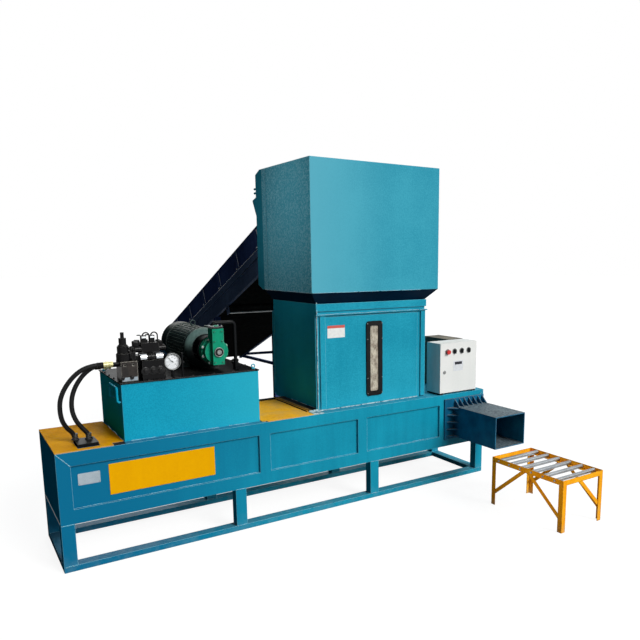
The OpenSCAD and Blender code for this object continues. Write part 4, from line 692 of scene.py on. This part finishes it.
s.stitch((446, 58, DECK), (1410, 58, DECK), 160, 70, 3.2)
s.make("frame_welds", WELD)

s = Piece()
s.bead((1938.6, 87, 812), (1938.6, 87, 1742), 4.6, 11)
s.stitch((1944, 81.5, 804), (3034, 81.5, 804), 190, 10, 4.6)
s.stitch((2960, 17, 706), (3124, 17, 706), 60, 20, 3.0)
s.stitch((1938, 100, 819), (1938, 700, 819), 120, 40, 2.6)
s.slab((1848, 3, 806), X, Y, 94, 89, 3, 6, 1)
s.bead((1848, 3.5, 804), (1944, 3.5, 804), 5, 11)
s.bead((1856, 89, 812), (1936, 89, 812), 5.5, 11)
s.bead((1942, 84, 806), (2010, 82, 805), 6, 11)
s.make("corner_welds", CORNER)

s = Piece()
for x in (3140.5, 3594.5):
    for y in (-1396, -706):
        s.bead((x, y, 364), (x, y + 32, 364), 2.2)
for y in (-1397, -673):
    for x in (3146, 3557):
        s.bead((x, y, 366), (x + 32, y, 366), 2.2)
s.make("table_welds", SEAM)

STIFFENERS = 446 + 534.3 * np.arange(7)  # places down the conveyor's slope
s = Piece()
for down in STIFFENERS:
    for x in (1945, 3015):
        s.bead(slope(x, down - 1, 132), slope(x, down - 1, 290), 3.6)
for x in (1946, 3014):
    s.bead(slope(x, 300, 120), slope(x, 3700, 120), 3.0)
s.make("conveyor_welds", HIGHLIGHT_SEAM)

# ---------------------------------------------------------------- plates and labels
plates("side_plate", PLATE, "yellow_paint", ((316, 18, 465), X, Z, 724, 212, 2.6, 3, 0.8))
plates("blank_nameplates", ALLOY, "bare_steel", ((126, 18, 566), X, Z, 136, 78, 1.8, 5, 0.6),
       ((1246, 509, 1416), X, Z, 44, 30, 1.2, 3, 0.4))
s = Piece()
for x in (133, 255):
    for z in (573, 637):
        s.dome((x, 16.4, z), -Y, 3.2)
s.make("nameplate_rivets", ZINC)
plates("tower_label", LABEL, "cabinet_paint", ((2034, 88, 1384), X, Z, 162, 99, 0.9, 3, 0.3))
plates("door_label", DOOR_LABEL, "cabinet_paint", ((3284, 0.1, 1007), X, Z, 116, 93, 0.8, 4, 0.3),
       body="cabinet_door")
plates("door_display", DISPLAY, "black_plastic", ((3300, -0.6, 1066), X, Z, 84, 25, 2.4, 3, 0.8),
       body="cabinet_door")

# ---------------------------------------------------------------- gauge
GX, GZ = 799, 1307  # its axis
FACE = 110.2  # the dial's back
START, SWEEP, TICKS = 225, 270, 30  # degrees from zero at the lower left to full at the lower right


def dial_way(share):
    """The direction from the dial's middle at a share of its scale."""
    a = math.radians(START - SWEEP * share)
    return np.array([math.cos(a), 0, math.sin(a)])


s = Piece()
s.lathe((GX, FACE, GZ), -Y, [(52.4, 0), (52.4, 0.6), (51.8, 0.9)], 64)
s.make("gauge_dial", DIAL)
s = Piece()
for i in range(TICKS + 1):
    long_, broad = (11, 2.2) if i % 5 == 0 else (6, 1.1)
    v = dial_way(i / TICKS)
    u = np.cross(v, -Y)
    foot = np.array([GX, FACE - 0.9, GZ]) + v * (47 - long_) - u * broad / 2
    s.slab(foot, u, v, broad, long_, 0.35, 0.2, 0.1)
arc = np.array([dial_way(share) for share in np.linspace(0, 1, 61)])
s.tube(np.array([GX, FACE - 1, GZ]) + 47.5 * arc, 0.45, 6)
s.make("gauge_ticks", INK)
s = Piece()
s.lathe((GX, 99.5, GZ), -Y, [(52.6, 0), (52.6, 1.2), (42, 2.0), (28, 2.6), (12, 2.9), (0.1, 3.0)], 48)
s.make("gauge_cover", GLASS)
s = Piece()
s.hoop(GX, 95.6, GZ, 55.4, 2.5, 64)
s.make("gauge_ring", ZINC)
s = Piece()
for i in range(7):
    text = bpy.data.curves.new("dial_number", "FONT")
    text.body = str(5 * i)
    text.size = 0.0105
    text.align_x = text.align_y = "CENTER"
    text.extrude = 0.0001
    letters = bpy.data.objects.new("dial_number", text)
    bpy.context.scene.collection.objects.link(letters)
    me = bpy.data.meshes.new_from_object(letters.evaluated_get(bpy.context.evaluated_depsgraph_get()))
    bpy.data.objects.remove(letters)
    co = np.zeros(len(me.vertices) * 3)
    me.vertices.foreach_get("co", co)
    co = co.reshape(-1, 3) * 1000
    x, _, z = 29 * dial_way(i / 6)
    faces = [[s.n + k for k in p.vertices] for p in me.polygons]
    s.add(np.stack([GX + x + co[:, 0], FACE - 1.1 - co[:, 2], GZ + z + co[:, 1]], 1), faces)
    bpy.data.meshes.remove(me)
s.make("gauge_numbers", INK)

# ---------------------------------------------------------------- power pack
MX, MZ = 1120, 1352  # the axis of motor, bell housing and pump
LID_Z = 1198  # the tank cover's top
COILS = (155, 215)  # the two rows of solenoids
TANK_PORTS = ((125, 1322), (195, 1302))  # y, z of the hoses' upper ends
COVER_PORTS = ((158, 212), (238, 185))  # x, y of their lower ends
s = Piece()
for x, length in ((583, 42), (687, 46)):
    s.lathe((x, 104, 1354), X, [(23.9, 0), (24.8, 0.8), (24.8, length - 1), (23.9, length)], 36)
s.make("check_sleeves", CHROME)
s = Piece()
for x in (607, 657, 707):
    s.bolt((x, 78, 1262), -Y, 26)
for x in (463, 519):
    s.socket((x, 96, 1311), -Y, 6.5)
for x in (460, 520):
    s.bolt((x, 90, 1226), -Y, 22, False)
s.make("pack_studs", OXIDE)
plates("coil_plates", DIAL, "cabinet_paint", ((610, 136, 1479), X, Z, 28, 13, 1.2, 2, 0.4),
       ((666, 136, 1479), X, Z, 28, 13, 1.2, 2, 0.4))
plates("manifold_foot_plate", ALLOY, "bare_steel", ((456, 90, 1203), X, Z, 102, 25, 1.6, 2, 0.5))
s = Piece()
for x in (1000, 1236):
    for y in (500, 700):
        s.bolt((x, y, 1232), Z, 15)
s.make("foot_bolts", ZINC)
s = Piece()
for x in np.arange(470, 1400, 152):
    s.bolt((x, 64, LID_Z), Z, 11)
for y in np.arange(150, 700, 140):
    for x in (444, 1412):
        s.bolt((x, y, LID_Z), Z, 11)
s.make("lid_bolts", OXIDE)
s = Piece()
s.lathe((MX, 371, MZ), -Y, [(138, -1), (149, 0), (151, 4), (150, 11), (139, 27), (126, 37), (113, 43),
                            (105, 45), (105, -1)], 72, closed=True)
s.make("motor_end_bell", BELL)
FIN_FOOT, FIN_THICK = 134, 2.8
s = Piece()
for a in np.radians(np.arange(36) * 10 + 5):
    v = np.array([math.cos(a), 0, math.sin(a)])
    foot = np.array([MX, 422, MZ]) + v * FIN_FOOT - np.cross(Y, v) * FIN_THICK / 2
    s.slab(foot, Y, v, 386, 14.5, FIN_THICK, 1.2, 0.8)
s.make("motor_thin_fins", FIN_HIGHLIGHT)
LUG_CIRCLE = 92
LUGS = [(MX + LUG_CIRCLE * math.cos(a), MZ + LUG_CIRCLE * math.sin(a))
        for a in np.radians([20, 65, 115, 160, 200, 245, 295, 340])]
s = Piece()
for x, z in LUGS:
    s.lathe((x, 156, z), -Y, [(13, 0), (14.5, 4), (13.5, 15), (12, 17), (0.1, 17.2)], 20)
s.make("pump_lugs", GREEN)
s = Piece()
for x, z in LUGS:
    s.bolt((x, 139, z), -Y, 10)
for x in (1088, 1152):
    for y in (68, 142):
        s.socket((x, y, 1535), Z, 5)
s.make("pump_screws", ZINC)
s = Piece()
for x in (1092, 1148):
    for z in (1278, 1430, 1500):
        s.socket((x, 60, z), -Y, 6)
s.make("pump_cover_screws", GREEN)
plates("pump_port_plate", OXIDE, "manifold_steel", ((1079, 57, 1521), X, Y, 82, 96, 14, 5, 2))
s = Piece()
s.lathe((MX, 50.5, MZ), -Y, [(31, 0), (31, 2), (29, 3), (21, 3), (20, 1.6), (13, 1.6), (12, 4),
                             (0.1, 4.6)], 40)
s.make("pump_dial", OXIDE)
s = Piece()
s.hoop(MX, 49, MZ, 32, 2.2, 48, 8)
s.lathe((MX, 48, MZ), -Y, [(16.5, 0), (16.5, 4.6), (15, 6), (6.5, 6), (6, 3.4), (0.1, 3.2)], 32)
s.make("pump_dial_ring", ZINC)
s = Piece()
for y in COILS:
    for x, out in ((556, -X), (758, X)):
        s.lathe((x, y, 1405), out, [(17, 0), (17, 9), (15.5, 11), (10, 11), (9, 16), (0.1, 16.4)], 24)
    for x in (577, 737):
        s.pebble((x, y, 1440), (15, 14, 17), 0.4)
for x in (594, 650):
    s.lathe((x, COILS[0], 1497), Z, [(13, 0, 11), (13, 5, 11), (9, 6.5, 11)], 24)
    s.lathe((x, COILS[1], 1447), Z, [(22, 0, 17), (22, 12, 17), (17, 15, 17), (6, 15.5, 17)], 24)
for x, y in ((1294, 200), (1338, 300)):
    s.lathe((x, y, 1234), Z, [(19, 0), (25, 2), (25, 16), (22, 20), (8, 21), (0.1, 21.2)], 32)
for z, r in ((1385, 36), (1436, 28)):
    s.lathe((484, 140, z), Z, [(r * 1.3, 0, r), (r * 1.3, 7, r), (r, 9, r)], 24)
s.pebble((1315, 575, 1442), (9, 56, 42), 0.25)
s.make("valve_caps", VALVE)
s = Piece()
for y, z in TANK_PORTS:
    s.lathe((368, y, z), X, [(28, 0, 22), (28, 13, 22), (22, 16, 22), (19.2, 17, 22)], 24)
    s.lathe((398, y, z), X, [(26, 0, 20), (26, 10, 20), (20, 12, 20), (12.5, 13, 20)], 24)
for x, y in COVER_PORTS:
    s.lathe((x, y, 824), Z, [(28, 0, 22), (28, 7, 22), (21, 9, 22), (19.2, 9.5, 22)], 24)
s.make("union_nuts", BRASS)
s = Piece()
along = np.linspace(0, 40, 41)
ribs = 18.6 + 0.9 * np.cos(along * 2 * np.pi / 8)
ribs[0] = ribs[-1] = 15.4
for y, z in TANK_PORTS:
    s.lathe((350, y, z), -X, np.stack([ribs, along], 1), 24)
for x, y in COVER_PORTS:
    s.lathe((x, y, 838), Z, np.stack([ribs, along * 0.7], 1), 24)
s.make("hose_ferrules", VALVE)
s = Piece()
for x, y in ((1392, 90), (1392, 690), (462, 690)):
    s.hoop(x, y, LID_Z + 24, 13, 4, 28)
    s.lathe((x, y, LID_Z), Z, [(13, 0), (13, 4), (8, 9), (6, 13)], 20)
s.make("lifting_eyes", TANK)

# ---------------------------------------------------------------- cabinet
KNOBS, KNOB_Z = 3212 + 84 * np.arange(4), 1187
s = Piece()
for x in KNOBS:
    s.lathe((x, 0, KNOB_Z), -Y, [(27, 0), (27, 1.5), (25.5, 3), (22, 3.4), (21.2, 2.6), (21.2, 0.2)], 36)
s.lathe((3181, 0, 1005), -Y, [(17, 0), (17, 1.5), (15.5, 2.6), (13.2, 2.8), (12.6, 0.3)], 28)
s.make("control_bezels", ZINC, "cabinet_door")
s = Piece()
for y in (212, 526):
    for z in (826, 1252):
        s.dome((3382, y, z), -X, 5)
        s.dome((3560, y, z), X, 5)
s.make("starter_screws", ZINC)
s = Piece()
for x in (2412, 2557):
    for z in (890, 1020, 1350, 1480):
        s.dome((x, 78, z), -Y, 4)
s.make("window_screws", ZINC)

# ---------------------------------------------------------------- table, outlet and conveyor hardware
ROLLERS = -747 - 115 * np.arange(6)  # their axles
s = Piece()
for y in ROLLERS:
    for x, out in ((3140, -X), (3595, X)):
        s.bolt((x, y, 386), out, 15, False)
s.make("axle_nuts", ZINC)
s = Piece()
for down in STIFFENERS:
    for x in (1940, 3020):
        s.bolt(slope(x, down + 40, 124), OFF_BELT, 13)
for down in (0, 3800):
    for x, out in ((1942, -X), (3018, X)):
        for dy in (-38, 38):
            for dz in (-32, 32):
                s.bolt(slope(x, down + dy, dz), out, 14, False)
for x in (2000, 2480, 2960):
    s.bolt((x, 996, 2718), Y, 18)
s.make("conveyor_bolts", ZINC)
s = Piece()
s.lathe(slope(1960, 1485, -165), X, [(8.2, 0), (9, 1), (9, 1039), (8.2, 1040)], 20)
s.make("tie_rod_sleeve", ZINC)

# ---------------------------------------------------------------- hoses
OUTER = [(350, 125, 1322), (290, 125, 1322), (222, 128, 1302), (162, 134, 1256), (112, 142, 1190),
         (82, 152, 1118), (75, 164, 1042), (86, 180, 968), (112, 198, 914), (142, 210, 876), (158, 214, 838)]
INNER = [(362, 195, 1302), (305, 195, 1302), (246, 193, 1266), (198, 190, 1210), (165, 187, 1146),
         (150, 184, 1080), (152, 182, 1014), (172, 182, 952), (204, 184, 902), (230, 185, 866), (238, 185, 838)]
for name, node, points in (("outer_hose_tube", "hose_outer", OUTER),
                           ("inner_hose_tube", "hose_inner", INNER)):
    line = smooth(points)
    s = Piece()
    s.tube(line, 15, 20)
    o = s.make(name, HOSE)
    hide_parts(node)
